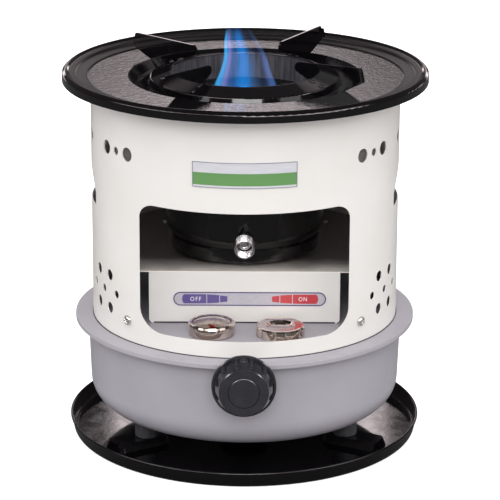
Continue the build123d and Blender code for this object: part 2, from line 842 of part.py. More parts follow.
# The top tray lies on the casing's edge: a trough round the middle, a flat ring, a step, and a
# high rolled rim. A ring under it finds the casing's bore.
trough_floor = 307.5
trough_hole = 74.0

with BuildPart() as top_tray:
    with BuildSketch(Plane.XZ):
        sheet_section(
            [
                (trough_hole, trough_floor),
                (92, trough_floor),
                (99, tray_plate_height),
                (133, tray_plate_height),
                (134.5, 315.5),
                (142.5, 316.8),
                (143.8, 318.4),
                (149, 319.4),
                (151.5, 321.5),
                (top_tray_radius, 318.5),
                (top_tray_radius, 312),
            ],
            [1.2, 1.6, 0.4, 0.4, 0.8, 1.4, 1.5, 1.6, 1.6],
            tray_sheet,
        )
    revolve(axis=Axis.Z)
    tube(casing_bore - 1.6, casing_bore - 0.6, shield_top + 1.6, casing_top + 0.2)
top_tray.part.label = "top_tray"
export_step(top_tray.part, "parts/top_tray.step")

# The trivet ring: a chimney collar, a cone that falls outwards, a skirt and a foot in the trough.
collar_low = 297.0
ring_hole_radius = 62.5
ring_sheet = 0.8
ring_foot = trough_floor + ring_sheet

with BuildPart() as trivet_ring:
    with BuildSketch(Plane.XZ):
        sheet_section(
            [
                (ring_hole_radius, collar_low),
                (ring_hole_radius, trivet_hole_height),
                (80.6, 314.0),
                (82.4, ring_foot),
                (87.5, ring_foot),
            ],
            [1.4, 1.6, 0.5],
            ring_sheet,
        )
    revolve(axis=Axis.Z)
trivet_ring.part.label = "trivet_ring"
export_step(trivet_ring.part, "parts/trivet_ring.step")

# Four upright plates welded to the ring carry the pot. Each overhangs the hole, stands on the cone
# and the skirt, and ends outside in a folded flange.
support_sheet = 1.6
support_fold = 4.2
support_angles = {"back_right": 55.5, "back_left": 145.5, "front_left": 235.5, "front_right": 325.5}

for support_name, angle in support_angles.items():
    along = Vector(cos(radians(angle)), sin(radians(angle)), 0)
    across = Vector(sin(radians(angle)), -cos(radians(angle)), 0)
    with BuildPart() as pot_support:
        with BuildSketch(Plane(origin=across * (-support_sheet / 2), x_dir=along, z_dir=across)):
            with BuildLine():
                FilletPolyline(
                    (50.2, 325.8),
                    (50.9, 332.7),
                    (115.8, support_tip_height),
                    (118.6, 324.4),
                    (101.3, 315.3),
                    (98.3, 314.3),
                    (90.3, 308.1),
                    (82.1, 308.1),
                    (80.4, 313.6),
                    (62.9, 319.5),
                    radius=[3.6, 4.2, 2.8, 1.5, 2, 2, 0.3, 0.3, 0.3, 3],
                    close=True,
                )
            make_face()
        extrude(amount=support_sheet)
        with BuildSketch(Plane(origin=across * (-support_sheet / 2), x_dir=along, z_dir=across)):
            with BuildLine():
                Polyline(
                    (115.1, support_tip_height - 2.4),
                    (116.3, support_tip_height - 2.4),
                    (118.4, 325.6),
                    (117.2, 325.3),
                    close=True,
                )
            make_face()
        extrude(amount=support_fold)
        add(trivet_ring.part, mode=Mode.SUBTRACT)
    pot_support.part.label = "pot_support_" + support_name
    export_step(pot_support.part, "parts/pot_support_" + support_name + ".step")

# The burner lifts off its seat: a base ring, a black drum, and a pierced flame tube on each side of
# the wick's slot, with a spreader on the inner one and two rods through all of them.
base_ring_radius = 63.5
base_ring_top = 177.3
flame_tube_top = 286.0
outer_tube_bore = 31.0
inner_tube_low = air_tube_top + 0.4
spreader_low = 287.2
rod_radius = 1.3
rod_heights = {45.0: 232.0, -45.0: 236.0}
flame_hole_radius = 1.6
rivet_height = 174.6
rivet_radius = 1.2
rivet_azimuths = (-131, -49, 49, 131)


def cut_rivet_holes():
    """Cuts the holes for the rivets that join the base ring and the drum."""
    for azimuth in rivet_azimuths:
        with BuildSketch(radial_plane(azimuth, base_ring_radius - 3, rivet_height)) as hole:
            Circle(rivet_radius)
        extrude(hole.sketch, amount=4, mode=Mode.SUBTRACT)


def cut_rod_holes():
    """Cuts both crossing rods' holes through a tube, on its two sides."""
    for azimuth, height in rod_heights.items():
        with BuildSketch(radial_plane(azimuth, -80, height)) as hole:
            Circle(rod_radius)
        extrude(hole.sketch, amount=160, mode=Mode.SUBTRACT)


def cut_flame_holes(low, rows, row_step, count):
    """Cuts rings of small holes through a flame tube, every other ring turned by half a step."""
    for row in range(rows):
        for hole in range(count):
            azimuth = (hole + row % 2 / 2) * 360 / count
            with BuildSketch(radial_plane(azimuth, 0, low + row * row_step)) as cutter:
                Circle(flame_hole_radius)
            extrude(cutter.sketch, amount=40, mode=Mode.SUBTRACT)


with BuildPart() as burner_base_ring:
    tube(base_ring_radius - burner_sheet, base_ring_radius, burner_bottom, base_ring_top)
    tube(guide_tube_radius + 0.5, base_ring_radius, burner_bottom, burner_bottom + burner_sheet)
    with BuildSketch(Plane.XY.offset(burner_bottom)):
        with PolarLocations(50, 16):
            Circle(3.5)
    extrude(amount=burner_sheet, mode=Mode.SUBTRACT)
    cut_rivet_holes()
burner_base_ring.part.label = "burner_base_ring"
export_step(burner_base_ring.part, "parts/burner_base_ring.step")

with BuildPart() as burner_drum:
    with BuildSketch(Plane.XZ):
        sheet_section(
            [
                (base_ring_radius - burner_sheet, 170.0),
                (base_ring_radius - burner_sheet, 178.2),
                (drum_radius, 185.5),
                (drum_radius, drum_top),
            ],
            [1.6, 8.0],
            burner_sheet,
            Side.LEFT,
        )
    revolve(axis=Axis.Z)
    cut_rivet_holes()
    cut_rod_holes()
burner_drum.part.label = "burner_drum"
export_step(burner_drum.part, "parts/burner_drum.step")

with BuildPart() as drum_rivets:
    for azimuth in rivet_azimuths:
        with BuildSketch(radial_plane(azimuth, base_ring_radius - 2.4, rivet_height)):
            Circle(rivet_radius)
        extrude(amount=2.5)
        with BuildSketch(radial_plane(azimuth, base_ring_radius + 0.02, rivet_height)):
            Circle(2.0)
        extrude(amount=0.9)
drum_rivets.part.label = "drum_rivets"
export_step(drum_rivets.part, "parts/drum_rivets.step")

with BuildPart() as outer_flame_tube:
    tube(outer_tube_bore, outer_tube_bore + burner_sheet, burner_bottom + burner_sheet, flame_tube_top)
    cut_flame_holes(198, 4, 9, 16)
    cut_rod_holes()
outer_flame_tube.part.label = "outer_flame_tube"
export_step(outer_flame_tube.part, "parts/outer_flame_tube.step")

with BuildPart() as inner_flame_tube:
    tube(air_tube_bore, air_tube_radius, inner_tube_low, spreader_low)
    tube(air_tube_bore - 1.2, air_tube_radius, inner_tube_low, inner_tube_low + burner_sheet)
    tube(air_tube_bore - 1.2, air_tube_bore - 0.4, inner_tube_low - 7, inner_tube_low)
    cut_flame_holes(198, 4, 9, 12)
    cut_rod_holes()
inner_flame_tube.part.label = "inner_flame_tube"
export_step(inner_flame_tube.part, "parts/inner_flame_tube.step")

with BuildPart() as flame_spreader:
    with BuildSketch(Plane.XZ):
        sheet_section(
            [(0, 290.4), (5, 290.4), (14, 288), (26.5, 288), (28, 284.6)], [6, 6, 1.2], burner_sheet
        )
    revolve(axis=Axis.Z)
flame_spreader.part.label = "flame_spreader"
export_step(flame_spreader.part, "parts/flame_spreader.step")

with BuildPart() as burner_rods:
    for azimuth, height in rod_heights.items():
        with BuildSketch(radial_plane(azimuth, -drum_radius - 1.5, height)):
            Circle(rod_radius)
        extrude(amount=2 * drum_radius + 3)
burner_rods.part.label = "burner_rods"
export_step(burner_rods.part, "parts/burner_rods.step")

# The burner's handle: a strap bent to the drum, a stud through it, and round the stud a coil of
# bright wire, which stays cool enough to touch. The coil's back end goes into the strap.
handle_height = 187.9
strap_outer = drum_radius + 1.5
strap_low = 180.0
strap_top = 216.0
handle_wire = 1.8
coil_radius = 7.5
coil_turns = 6.25
coil_pitch = 3.05
wire_end = (0, -strap_outer + 1.2, handle_height + coil_radius)
stud_radius = 2.2

with BuildPart() as handle_strap:
    tube(drum_radius, strap_outer, strap_low, strap_top)
    with BuildSketch(Plane.XZ):
        with BuildLine():
            Polyline((-5, strap_top), (5, strap_top), (9, strap_low), (-9, strap_low), close=True)
        make_face()
    extrude(amount=100, mode=Mode.INTERSECT)
    with BuildSketch(Plane.XZ.offset(60)):
        with Locations((0, handle_height)):
            Circle(stud_radius)
    extrude(amount=20, mode=Mode.SUBTRACT)
    with BuildSketch(Plane.XZ.offset(strap_outer - 1.2)):
        with Locations((0, handle_height + coil_radius)):
            Circle(handle_wire / 2)
    extrude(amount=4, mode=Mode.SUBTRACT)
handle_strap.part.label = "handle_strap"
export_step(handle_strap.part, "parts/handle_strap.step")

with BuildPart() as handle_stud:
    turned(
        [
            (drum_radius + 0.2, 0),
            (drum_radius + 0.2, stud_radius),
            (74.6, stud_radius),
            (74.6, 5.2),
            (76.2, 5.2),
            (77.5, 4.0),
            (78.2, 2.0),
            (78.2, 0),
        ],
        handle_height,
    )
handle_stud.part.label = "handle_stud"
export_step(handle_stud.part, "parts/handle_stud.step")


def biarc(start, leaving, end, arriving):
    """Draws two arcs that run smoothly from one point and direction to another."""
    chord = end - start
    curve = 2 * (leaving.dot(arriving) - 1)
    slope = -2 * chord.dot(leaving + arriving)
    reach = (-slope - sqrt(slope**2 - 4 * curve * chord.dot(chord))) / (2 * curve)
    first_corner = start + leaving * reach
    second_corner = end - arriving * reach
    joint = (first_corner + second_corner) * 0.5
    first_arc = TangentArc(start, joint, tangent=leaving)
    second_arc = TangentArc(joint, end, tangent=second_corner - first_corner)
    return [first_arc, second_arc]


def coil_point(turns):
    """A point of the coil's middle line and its direction, by the turns from the top at the back."""
    angle = 2 * pi * turns
    depth = strap_outer + 4.0 + coil_pitch * turns
    point = Vector(-coil_radius * sin(angle), -depth, handle_height + coil_radius * cos(angle))
    speed = Vector(-coil_radius * cos(angle), -coil_pitch / 2 / pi, -coil_radius * sin(angle))
    return point, speed.normalized()


with BuildPart() as handle_coil:
    with BuildLine() as coil_line:
        bend_start = Vector(0, -strap_outer - handle_wire - 0.2, handle_height + coil_radius)
        Line(wire_end, bend_start)
        point, direction = coil_point(0.12)
        arcs = biarc(bend_start, Vector(0, -1, 0), point, direction)
        for quarter in range(1, int(4 * coil_turns)):
            next_point, next_direction = coil_point(0.12 + quarter / 4)
            arcs += biarc(point, direction, next_point, next_direction)
            point = next_point
            direction = next_direction
    with BuildSketch(Plane(origin=wire_end, x_dir=(1, 0, 0), z_dir=(0, -1, 0))):
        Circle(handle_wire / 2)
    sweep(path=coil_line.wires()[0])
handle_coil.part.label = "handle_coil"
export_step(handle_coil.part, "parts/handle_coil.step")

# The coil's least gap to itself, from points along its middle line more than half a turn apart.
path = coil_line.wires()[0]
samples = [path @ (k / 1200) for k in range(1201)]
skip = int(0.5 * 1200 / coil_turns)
least = min((samples[i] - samples[j]).length for i in range(1201) for j in range(i + skip, 1201))
print("handle coil: least gap to itself", round(least - handle_wire, 2), "mm")
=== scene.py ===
import bpy
import json
import numpy as np
from math import cos, pi, radians, sin
from mathutils import Matrix


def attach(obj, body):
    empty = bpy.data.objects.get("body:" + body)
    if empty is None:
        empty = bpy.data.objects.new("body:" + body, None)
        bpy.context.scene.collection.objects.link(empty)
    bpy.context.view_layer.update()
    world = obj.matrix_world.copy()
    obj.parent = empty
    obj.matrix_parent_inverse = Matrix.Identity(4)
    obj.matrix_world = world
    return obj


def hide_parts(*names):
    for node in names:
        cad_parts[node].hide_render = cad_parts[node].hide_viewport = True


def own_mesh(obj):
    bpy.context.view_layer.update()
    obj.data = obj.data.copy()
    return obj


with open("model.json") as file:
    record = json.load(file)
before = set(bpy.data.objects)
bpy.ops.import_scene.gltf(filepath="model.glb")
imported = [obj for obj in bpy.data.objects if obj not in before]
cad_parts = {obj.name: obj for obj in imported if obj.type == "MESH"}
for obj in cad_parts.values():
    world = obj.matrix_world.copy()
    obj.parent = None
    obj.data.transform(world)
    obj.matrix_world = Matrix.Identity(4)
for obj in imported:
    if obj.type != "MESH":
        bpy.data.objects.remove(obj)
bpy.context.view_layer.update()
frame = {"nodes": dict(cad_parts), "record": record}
nodes = frame["nodes"]
print("frame loaded:", len(nodes), "CAD pieces")

mm = 0.001
noiseSpread = (0.3, 0.7)  # most values of a noise pattern lie between these


def linearColour(hexText):  # an sRGB hex colour as linear red, green, blue and alpha
    parts = [int(hexText[i : i + 2], 16) / 255 for i in (1, 3, 5)]
    return [p / 12.92 if p <= 0.04045 else ((p + 0.055) / 1.055) ** 2.4 for p in parts] + [1.0]


def connect(tree, node, inputs):
    # sets a node's inputs, by name or in their order: each to a value, to an output of another node, or to a
    # node, whose first output in use is meant
    for name, value in inputs.items() if isinstance(inputs, dict) else enumerate(inputs):
        if isinstance(value, bpy.types.Node):
            value = next(output for output in value.outputs if output.enabled)
        if isinstance(value, bpy.types.NodeSocket):
            tree.links.new(value, node.inputs[name])
        else:
            node.inputs[name].default_value = value


def addNode(tree, kind, inputs=(), **settings):
    # adds one node with its settings and links
    node = tree.nodes.new("ShaderNode" + kind)
    for name, value in settings.items():
        setattr(node, name, value)
    connect(tree, node, inputs)
    return node


def newMaterial(name, **shaderValues):
    # a material with an empty tree but for its shader, whose plain values are set here
    material = bpy.data.materials.new(name)
    material.use_nodes = True
    tree = material.node_tree
    tree.nodes.clear()
    shader = addNode(tree, "BsdfPrincipled")
    addNode(tree, "OutputMaterial", {"Surface": shader})
    connect(tree, shader, {socket.replace("_", " "): value for socket, value in shaderValues.items()})
    return material, tree, shader


def objectPlace(tree, stretch=(1, 1, 1)):
    # the place on the piece in metres, stretched before a pattern reads it
    coordinates = addNode(tree, "TexCoord")
    return addNode(tree, "Mapping", {"Vector": coordinates.outputs["Object"], "Scale": stretch})


def radiusAndHeight(tree):
    # how far a place on the piece is from the upright middle axis, and how high it is
    parts = addNode(tree, "SeparateXYZ", [objectPlace(tree)]).outputs
    flat = addNode(tree, "CombineXYZ", [parts["X"], parts["Y"]])
    return addNode(tree, "VectorMath", [flat], operation="LENGTH"), parts["Z"]


def lumps(tree, sizeMm, detail=3.0, stretch=(1, 1, 1), roughness=0.5):
    # noise on the piece whose lumps are about that many millimetres wide where it isn't stretched
    place, perMetre = objectPlace(tree, stretch), 1000 / sizeMm
    inputs = {"Vector": place, "Scale": perMetre, "Detail": detail, "Roughness": roughness}
    return addNode(tree, "TexNoise", inputs)


# A MapRange node's inputs in order are the value, the two ends that it comes from, and the two that it goes
# to, which are 0 and 1 where they are left out.


def softBand(tree, value, edges):
    # from 0 to 1 between the first two edges, and back to 0 between the last two
    up = addNode(tree, "MapRange", [value, *edges[:2]])
    down = addNode(tree, "MapRange", [value, *edges[2:], 1.0, 0.0])
    return addNode(tree, "Math", [up, down], operation="MULTIPLY")


def cloudedColour(tree, pattern, light, dark):
    # two near colours in clouds; a mix takes colours at its inputs 6 and 7, and numbers at 2 and 3
    share = addNode(tree, "MapRange", [pattern, *noiseSpread])
    return addNode(tree, "Mix", {0: share, 6: linearColour(light), 7: linearColour(dark)}, data_type="RGBA")


def addGrain(tree, shader, grain, roughness, bump, depthMm):
    # a grain that varies the roughness between two values and stands out as a bump of that depth
    rough = addNode(tree, "MapRange", [grain, *noiseSpread, *roughness])
    normal = addNode(tree, "Bump", {"Height": grain, "Strength": bump, "Distance": depthMm * mm})
    connect(tree, shader, {"Roughness": rough, "Normal": normal})


def setStops(ramp, stops):
    # gives a colour ramp its places and colours
    elements = ramp.color_ramp.elements
    elements.remove(elements[1])
    elements[0].position, elements[0].color = stops[0][0], linearColour(stops[0][1])
    for position, colour in stops[1:]:
        elements.new(position).color = linearColour(colour)


# Materials, each named for the real material and how its surface was made.


def evenFinish(
    name, light, dark, roughness, grainMm=1.0, cloudMm=None, bump=0.4, depthMm=0.01, details=(3.0, 2.0),
    stretch=(1, 1, 1), **shaderValues
):
    # two near colours in clouds, and a fine grain, whose marks are long where it is stretched
    material, tree, shader = newMaterial(name, **shaderValues)
    cloud = lumps(tree, cloudMm or 8 * grainMm, details[0])
    connect(tree, shader, {"Base Color": cloudedColour(tree, cloud, light, dark)})
    addGrain(tree, shader, lumps(tree, grainMm, details[1], stretch), roughness, bump, depthMm)
    return material


def steelSheet(name, light, dark, roughness, grainMm, stretch=(1, 1, 1)):
    # bare or plated steel: rolling marks as long streaks where the pattern is stretched, and faint clouds
    return evenFinish(
        name, light, dark, roughness, grainMm, cloudMm=18.0, bump=0.25, depthMm=0.008, details=(3.0, 3.0),
        stretch=stretch, Metallic=1.0
    )


enamel = {"colour": "#070608", "coat": 0.2, "roughness": (0.05, 0.12), "bump": 0.5}
enamel.update({"peelMm": 4.0, "peelDepthMm": 0.55, "waveMm": 14.0, "waveShare": 0.3})
# the ledge inside the top tray's rim: its soft edges, as distances from the middle, and its duller surface
ledge = {"edges": (133.0, 134.0, 148.0, 149.0), "roughness": 0.36, "bump": 0.04}


def blackVitreousEnamel(name="blackVitreousEnamel", peelShare=1.0, ledged=False):
    # glass fused on pressed steel: jet black, mirror smooth, with a shallow orange peel that breaks what it
    # mirrors; where there is a ledge the peel ends at its inner edge, and the ledge itself is duller
    colour, coat = linearColour(enamel["colour"]), enamel["coat"]
    material, tree, shader = newMaterial(name, Base_Color=colour, IOR=1.52, Coat_Roughness=0.04)
    peel = lumps(tree, enamel["peelMm"], roughness=0.6)
    wave = lumps(tree, enamel["waveMm"], 2.0)
    height = addNode(tree, "Math", [wave, enamel["waveShare"], peel], operation="MULTIPLY_ADD")
    bump, roughness = enamel["bump"], addNode(tree, "MapRange", [wave, *noiseSpread, *enamel["roughness"]])
    if ledged:
        radius = radiusAndHeight(tree)[0]
        edges = [edge * mm for edge in ledge["edges"]]
        dull = softBand(tree, radius, edges)
        outside = addNode(tree, "MapRange", [radius, *edges[:2]])
        bump = addNode(tree, "Mix", {0: outside, 2: bump, 3: ledge["bump"]})
        roughness = addNode(tree, "Mix", {0: dull, 2: roughness, 3: ledge["roughness"]})
        coat = addNode(tree, "Mix", {0: dull, 2: coat, 3: 0.0})
    depth = enamel["peelDepthMm"] * peelShare * mm
    normal = addNode(tree, "Bump", {"Height": height, "Strength": bump, "Distance": depth})
    connect(tree, shader, {"Roughness": roughness, "Coat Weight": coat, "Normal": normal})
    return material


soot = {"radii": (62.9, 63.4), "heights": (316.8, 318.8), "streakMm": 2.5, "stretch": (1, 1, 0.08)}
soot.update({"colours": ("#1d1b1d", "#4a474a"), "roughness": 0.6, "cleanRoughness": 0.09})


def sootedEnamel():
    # the trivet ring's black enamel, dulled to a streaky grey by soot and heat on the inside of its collar,
    # which is nearer to the middle than those radii and below those heights
    material = blackVitreousEnamel("sootedEnamel", 0.2)
    tree = material.node_tree
    radius, height = radiusAndHeight(tree)
    within = addNode(tree, "MapRange", [radius, *(edge * mm for edge in soot["radii"]), 1.0, 0.0])
    low = addNode(tree, "MapRange", [height, *(edge * mm for edge in soot["heights"]), 1.0, 0.0])
    share = addNode(tree, "Math", [within, low], operation="MULTIPLY")
    streaks = lumps(tree, soot["streakMm"], stretch=soot["stretch"])
    grey = cloudedColour(tree, streaks, *soot["colours"])
    colour = addNode(tree, "Mix", {0: share, 6: linearColour(enamel["colour"]), 7: grey}, data_type="RGBA")
    roughness = addNode(tree, "Mix", {0: share, 2: soot["cleanRoughness"], 3: soot["roughness"]})
    coat = addNode(tree, "Mix", {0: share, 2: enamel["coat"], 3: 0.0})
    inputs = {"Base Color": colour, "Roughness": roughness, "Coat Weight": coat}
    connect(tree, tree.nodes["Principled BSDF"], inputs)
    return material


temper = {"heights": (190.0, 300.0), "waveMm": 30.0, "roughness": (0.3, 0.45)}
temper.update({"colours": [(0.0, "#8f8a85"), (0.45, "#8a7a5e"), (0.7, "#6a5a63"), (1.0, "#4c5365")]})


def heatedSteel():
    # stainless flame tubes after use: straw and blue temper colours in wavy bands that change with the height
    material, tree, shader = newMaterial("heatedSteel", Metallic=1.0)
    height = addNode(tree, "SeparateXYZ", [objectPlace(tree)]).outputs["Z"]
    cloud = lumps(tree, 20.0)
    wavy = addNode(tree, "Math", [cloud, temper["waveMm"] * mm, height], operation="MULTIPLY_ADD")
    share = addNode(tree, "MapRange", [wavy, *(edge * mm for edge in temper["heights"])])
    colours = addNode(tree, "ValToRGB", {"Fac": share})
    setStops(colours, temper["colours"])
    roughness = addNode(tree, "MapRange", [cloud, *noiseSpread, *temper["roughness"]])
    connect(tree, shader, {"Base Color": colours, "Roughness": roughness})
    return material


weave = {"threadsRound": 80.0, "rowMm": 1.0, "bump": 0.8, "depthMm": 0.3}
weave.update({"charFrom": (190.0, 197.0), "clean": "#cfc8b6", "charred": "#2c2723"})


def wovenGlassWick():
    # woven glass fibre: off-white threads, charred towards the lit edge; the weave's height is
    # sin(threads * angle) * sin(2 pi * height / row)
    material, tree, shader = newMaterial("wovenGlassWick", Roughness=0.9)
    parts = addNode(tree, "SeparateXYZ", [objectPlace(tree)]).outputs
    angle = addNode(tree, "Math", [parts["Y"], parts["X"]], operation="ARCTAN2")
    threads = []
    for value, rate in ((angle, weave["threadsRound"]), (parts["Z"], 2 * pi / (weave["rowMm"] * mm))):
        phase = addNode(tree, "Math", [value, rate], operation="MULTIPLY")
        threads.append(addNode(tree, "Math", [phase], operation="SINE"))
    height = addNode(tree, "Math", threads, operation="MULTIPLY")
    char = addNode(tree, "MapRange", [parts["Z"], *(edge * mm for edge in weave["charFrom"])])
    colours = {0: char, 6: linearColour(weave["clean"]), 7: linearColour(weave["charred"])}
    colour = addNode(tree, "Mix", colours, data_type="RGBA")
    depth = weave["depthMm"] * mm
    normal = addNode(tree, "Bump", {"Height": height, "Strength": weave["bump"], "Distance": depth})
    connect(tree, shader, {"Base Color": colour, "Normal": normal})
    return material


# a pale strip of painted light, whose colour is film, stands in for the light that falls through the window
# onto the front of the plate; it fades out between those two places from front to back, in an edge that
# wavers
deck = {"paintedLightTo": (-62.0, -30.0), "wavers": 20.0, "metal": "#a8a19d", "film": "#f2ebe4", "metallic": 0.9}


def brightDeckPlate():
    # rolled plate under the burner: a metal gleam, with painted light on the strip in front of it: a pale,
    # matt colour that stands in for the light falling there
    material, tree, shader = newMaterial("brightDeckPlate")
    depth = addNode(tree, "SeparateXYZ", [objectPlace(tree)]).outputs["Y"]
    cloud = lumps(tree, 24.0)
    uneven = addNode(tree, "Math", [cloud, deck["wavers"] * mm, depth], operation="MULTIPLY_ADD")
    # the share of painted light: 1 at the front of the plate, falling to 0 towards the back
    paintedLightShare = addNode(tree, "MapRange", [uneven, *(edge * mm for edge in deck["paintedLightTo"]), 1.0, 0.0])
    colours = {0: paintedLightShare, 6: linearColour(deck["metal"]), 7: linearColour(deck["film"])}
    colour = addNode(tree, "Mix", colours, data_type="RGBA")
    metallic = addNode(tree, "Mix", {0: paintedLightShare, 2: deck["metallic"], 3: 0.0})
    connect(tree, shader, {"Base Color": colour, "Metallic": metallic})
    addGrain(tree, shader, lumps(tree, 2.0, stretch=(0.2, 1, 1)), (0.28, 0.4), bump=0.3, depthMm=0.01)
    return material


def turnedBrass():
    # turned brass with fine lathe rings round the shaft
    material, tree, shader = newMaterial("turnedBrass", Metallic=1.0)
    rings = lumps(tree, 1.2, stretch=(1, 12, 1))
    connect(tree, shader, {"Base Color": cloudedColour(tree, rings, "#b8964a", "#a8863f")})
    addGrain(tree, shader, rings, (0.22, 0.34), bump=0.3, depthMm=0.01)
    return material


nameplate = {"halfWidth": 42.7, "low": 251.65, "high": 273.55, "margin": 0.35, "line": 0.5}
nameplate.update({"silver": ("#dfdfe5", "#d0d0d8"), "grey": "#77747e"})
nameplate.update({"band": (254.1, 264.4), "green": "#639257"})


def anodisedNameplate():
    # thin anodised aluminium: a brushed silver field, a grey printed outline and a printed green band
    material, tree, shader = newMaterial("anodisedNameplate")
    parts = addNode(tree, "SeparateXYZ", [objectPlace(tree)]).outputs
    aside = addNode(tree, "Math", [parts["X"]], operation="ABSOLUTE")

    def inside(inset, low=nameplate["low"], high=nameplate["high"]):
        # 1 in a field that lies that far inside the plate's edges, or between two other heights
        near = addNode(tree, "Math", [aside, (nameplate["halfWidth"] - inset) * mm], operation="LESS_THAN")
        over = addNode(tree, "Math", [parts["Z"], low * mm], operation="GREATER_THAN")
        under = addNode(tree, "Math", [parts["Z"], high * mm], operation="LESS_THAN")
        level = addNode(tree, "Math", [over, under], operation="MULTIPLY")
        return addNode(tree, "Math", [near, level], operation="MULTIPLY")

    def inField(inset):
        return inside(inset, nameplate["low"] + inset, nameplate["high"] - inset)

    within = nameplate["margin"] + nameplate["line"]
    green = inside(within, *nameplate["band"])
    streaks = lumps(tree, 14.0, stretch=(1, 1, 25))
    silver = cloudedColour(tree, streaks, *nameplate["silver"])
    grey = linearColour(nameplate["grey"])
    lined = addNode(tree, "Mix", {0: inField(nameplate["margin"]), 6: silver, 7: grey}, data_type="RGBA")
    field = addNode(tree, "Mix", {0: inField(within), 6: lined, 7: silver}, data_type="RGBA")
    colour = addNode(tree, "Mix", {0: green, 6: field, 7: linearColour(nameplate["green"])}, data_type="RGBA")
    metallic = addNode(tree, "Mix", {0: green, 2: 0.2, 3: 0.0})
    roughness = addNode(tree, "MapRange", [streaks, *noiseSpread, 0.32, 0.42])
    connect(tree, shader, {"Base Color": colour, "Metallic": metallic, "Roughness": roughness})
    return material


labelField = {"centre": (4.4, 139.6), "reach": 57.9, "radius": 5.7, "white": "#dedbdc"}
labelField.update({"grey": ("#bbb8c1", "#b5b2bc")})


def printedLabelFilm():
    # glossy film on the panel: lavender grey inside the printed outline, whose ends are half circles, and
    # white round it; a point is inside where the length of (max(|x| - reach, 0), z) is under the radius
    material, tree, shader = newMaterial("printedLabelFilm")
    parts = addNode(tree, "SeparateXYZ", [objectPlace(tree)]).outputs
    middle, level = labelField["centre"]
    across = addNode(tree, "Math", [parts["X"], -middle * mm], operation="ADD")
    aside = addNode(tree, "Math", [across], operation="ABSOLUTE")
    past = addNode(tree, "Math", [aside, -labelField["reach"] * mm], operation="ADD")
    beyond = addNode(tree, "Math", [past, 0.0], operation="MAXIMUM")
    upward = addNode(tree, "Math", [parts["Z"], -level * mm], operation="ADD")
    away = addNode(tree, "CombineXYZ", [beyond, upward])
    length = addNode(tree, "VectorMath", [away], operation="LENGTH")
    within = addNode(tree, "Math", [length, labelField["radius"] * mm], operation="LESS_THAN")
    grey = cloudedColour(tree, lumps(tree, 10.0), *labelField["grey"])
    white = linearColour(labelField["white"])
    colour = addNode(tree, "Mix", {0: within, 6: white, 7: grey}, data_type="RGBA")
    connect(tree, shader, {"Base Color": colour})
    addGrain(tree, shader, lumps(tree, 1.2, 2.0), (0.25, 0.33), bump=0.4, depthMm=0.004)
    return material


def clearLens():
    # clear moulded cover of the gauge: it shows the dial and a bright rim of reflections
    material, tree, shader = newMaterial("clearLens", Roughness=0.02, IOR=1.5, Transmission_Weight=1.0)
    connect(tree, shader, {"Base Color": cloudedColour(tree, lumps(tree, 9.0, 2.0), "#fbf7f3", "#f3efec")})
    return material


finishes = {
    "black_enamel": blackVitreousEnamel(),
    # sprayed and baked enamel paint: warm white, half gloss, with the faintest texture
    "white_enamel": evenFinish(
        "whiteBakedEnamel", "#e3e1de", "#dedbd7", (0.3, 0.4), grainMm=1.6, cloudMm=60.0, bump=0.25,
        details=(2.0, 2.0), IOR=1.5, Coat_Weight=0.25, Coat_Roughness=0.12
    ),
    # stoving paint on the drawn tank: lavender grey, half matt
    "tank_paint": evenFinish(
        "greyTankPaint", "#a5a2aa", "#9f9ca4", (0.36, 0.48), grainMm=0.9, cloudMm=45.0, bump=0.3,
        depthMm=0.012, IOR=1.48
    ),
    # moulded black rubber: matt, with dust on it
    "rubber": evenFinish(
        "mouldedRubber", "#343439", "#45454a", (0.65, 0.85), grainMm=0.7, cloudMm=5.0, bump=0.5,
        depthMm=0.04, details=(4.0, 3.0), IOR=1.5
    ),
    # steel under dull zinc, steel bare from the rolling mill, nickel on pressed steel, and chromed wire
    "zinc_steel": steelSheet("zincPlatedSteel", "#b9b9bb", "#a3a3a6", (0.28, 0.42), 1.5),
    "plain_steel": steelSheet("coldRolledSteel", "#9d9b99", "#8a8886", (0.32, 0.48), 1.2, (1, 1, 0.1)),
    "nickel": steelSheet("nickelPlate", "#dccfc6", "#cfc2b8", (0.07, 0.13), 4.0),
    "chrome": steelSheet("chromePlatedWire", "#e4e4e6", "#d8d8da", (0.05, 0.1), 2.0),
    "bright_deck": brightDeckPlate(),
    "heated_steel": heatedSteel(),
    "brass": turnedBrass(),
    "nameplate": anodisedNameplate(),
    # moulded phenolic: black and glossy, with a fine skin that scatters the highlights a little
    "black_plastic": evenFinish(
        "mouldedKnobPlastic", "#25252a", "#2c2c32", (0.18, 0.28), grainMm=0.8, cloudMm=12.0, bump=0.35,
        depthMm=0.02, details=(2.0, 3.0), IOR=1.55, Coat_Weight=0.6, Coat_Roughness=0.08
    ),
    "wick_fabric": wovenGlassWick(),
    # braided packing rubbed with graphite: coarse, matt and dark
    "packing_fibre": evenFinish("graphitedPacking", "#6d6456", "#4d473e", (0.7, 0.9), depthMm=0.1),
    # moulded rubber that oil doesn't swell: near black and matt
    "gasket_rubber": evenFinish(
        "oilProofRubber", "#232326", "#2d2d31", (0.5, 0.7), grainMm=0.8, depthMm=0.03
    ),
    "label_film": printedLabelFilm(),
    # sprayed paint on the gauge's dial and needle: even, half gloss, cream and red
    "dial_paint": evenFinish("paintedDial", "#c9bcb0", "#bfb1a5", (0.4, 0.55)),
    "needle_paint": evenFinish("redNeedlePaint", "#b3261e", "#a01f19", (0.3, 0.45), grainMm=0.8),
    "clear_lens": clearLens(),
    # moulded float of the gauge: yellowed by the fuel, half matt
    "float_plastic": evenFinish("mouldedFloat", "#cfc5a4", "#c3b896", (0.5, 0.65), grainMm=1.4, depthMm=0.02),
}
slotOfNode = {part["node"]: part["material_slot"] for part in frame["record"]["subparts"]}
for name, node in nodes.items():
    node.data.materials.clear()
    node.data.materials.append(finishes[slotOfNode[name]])

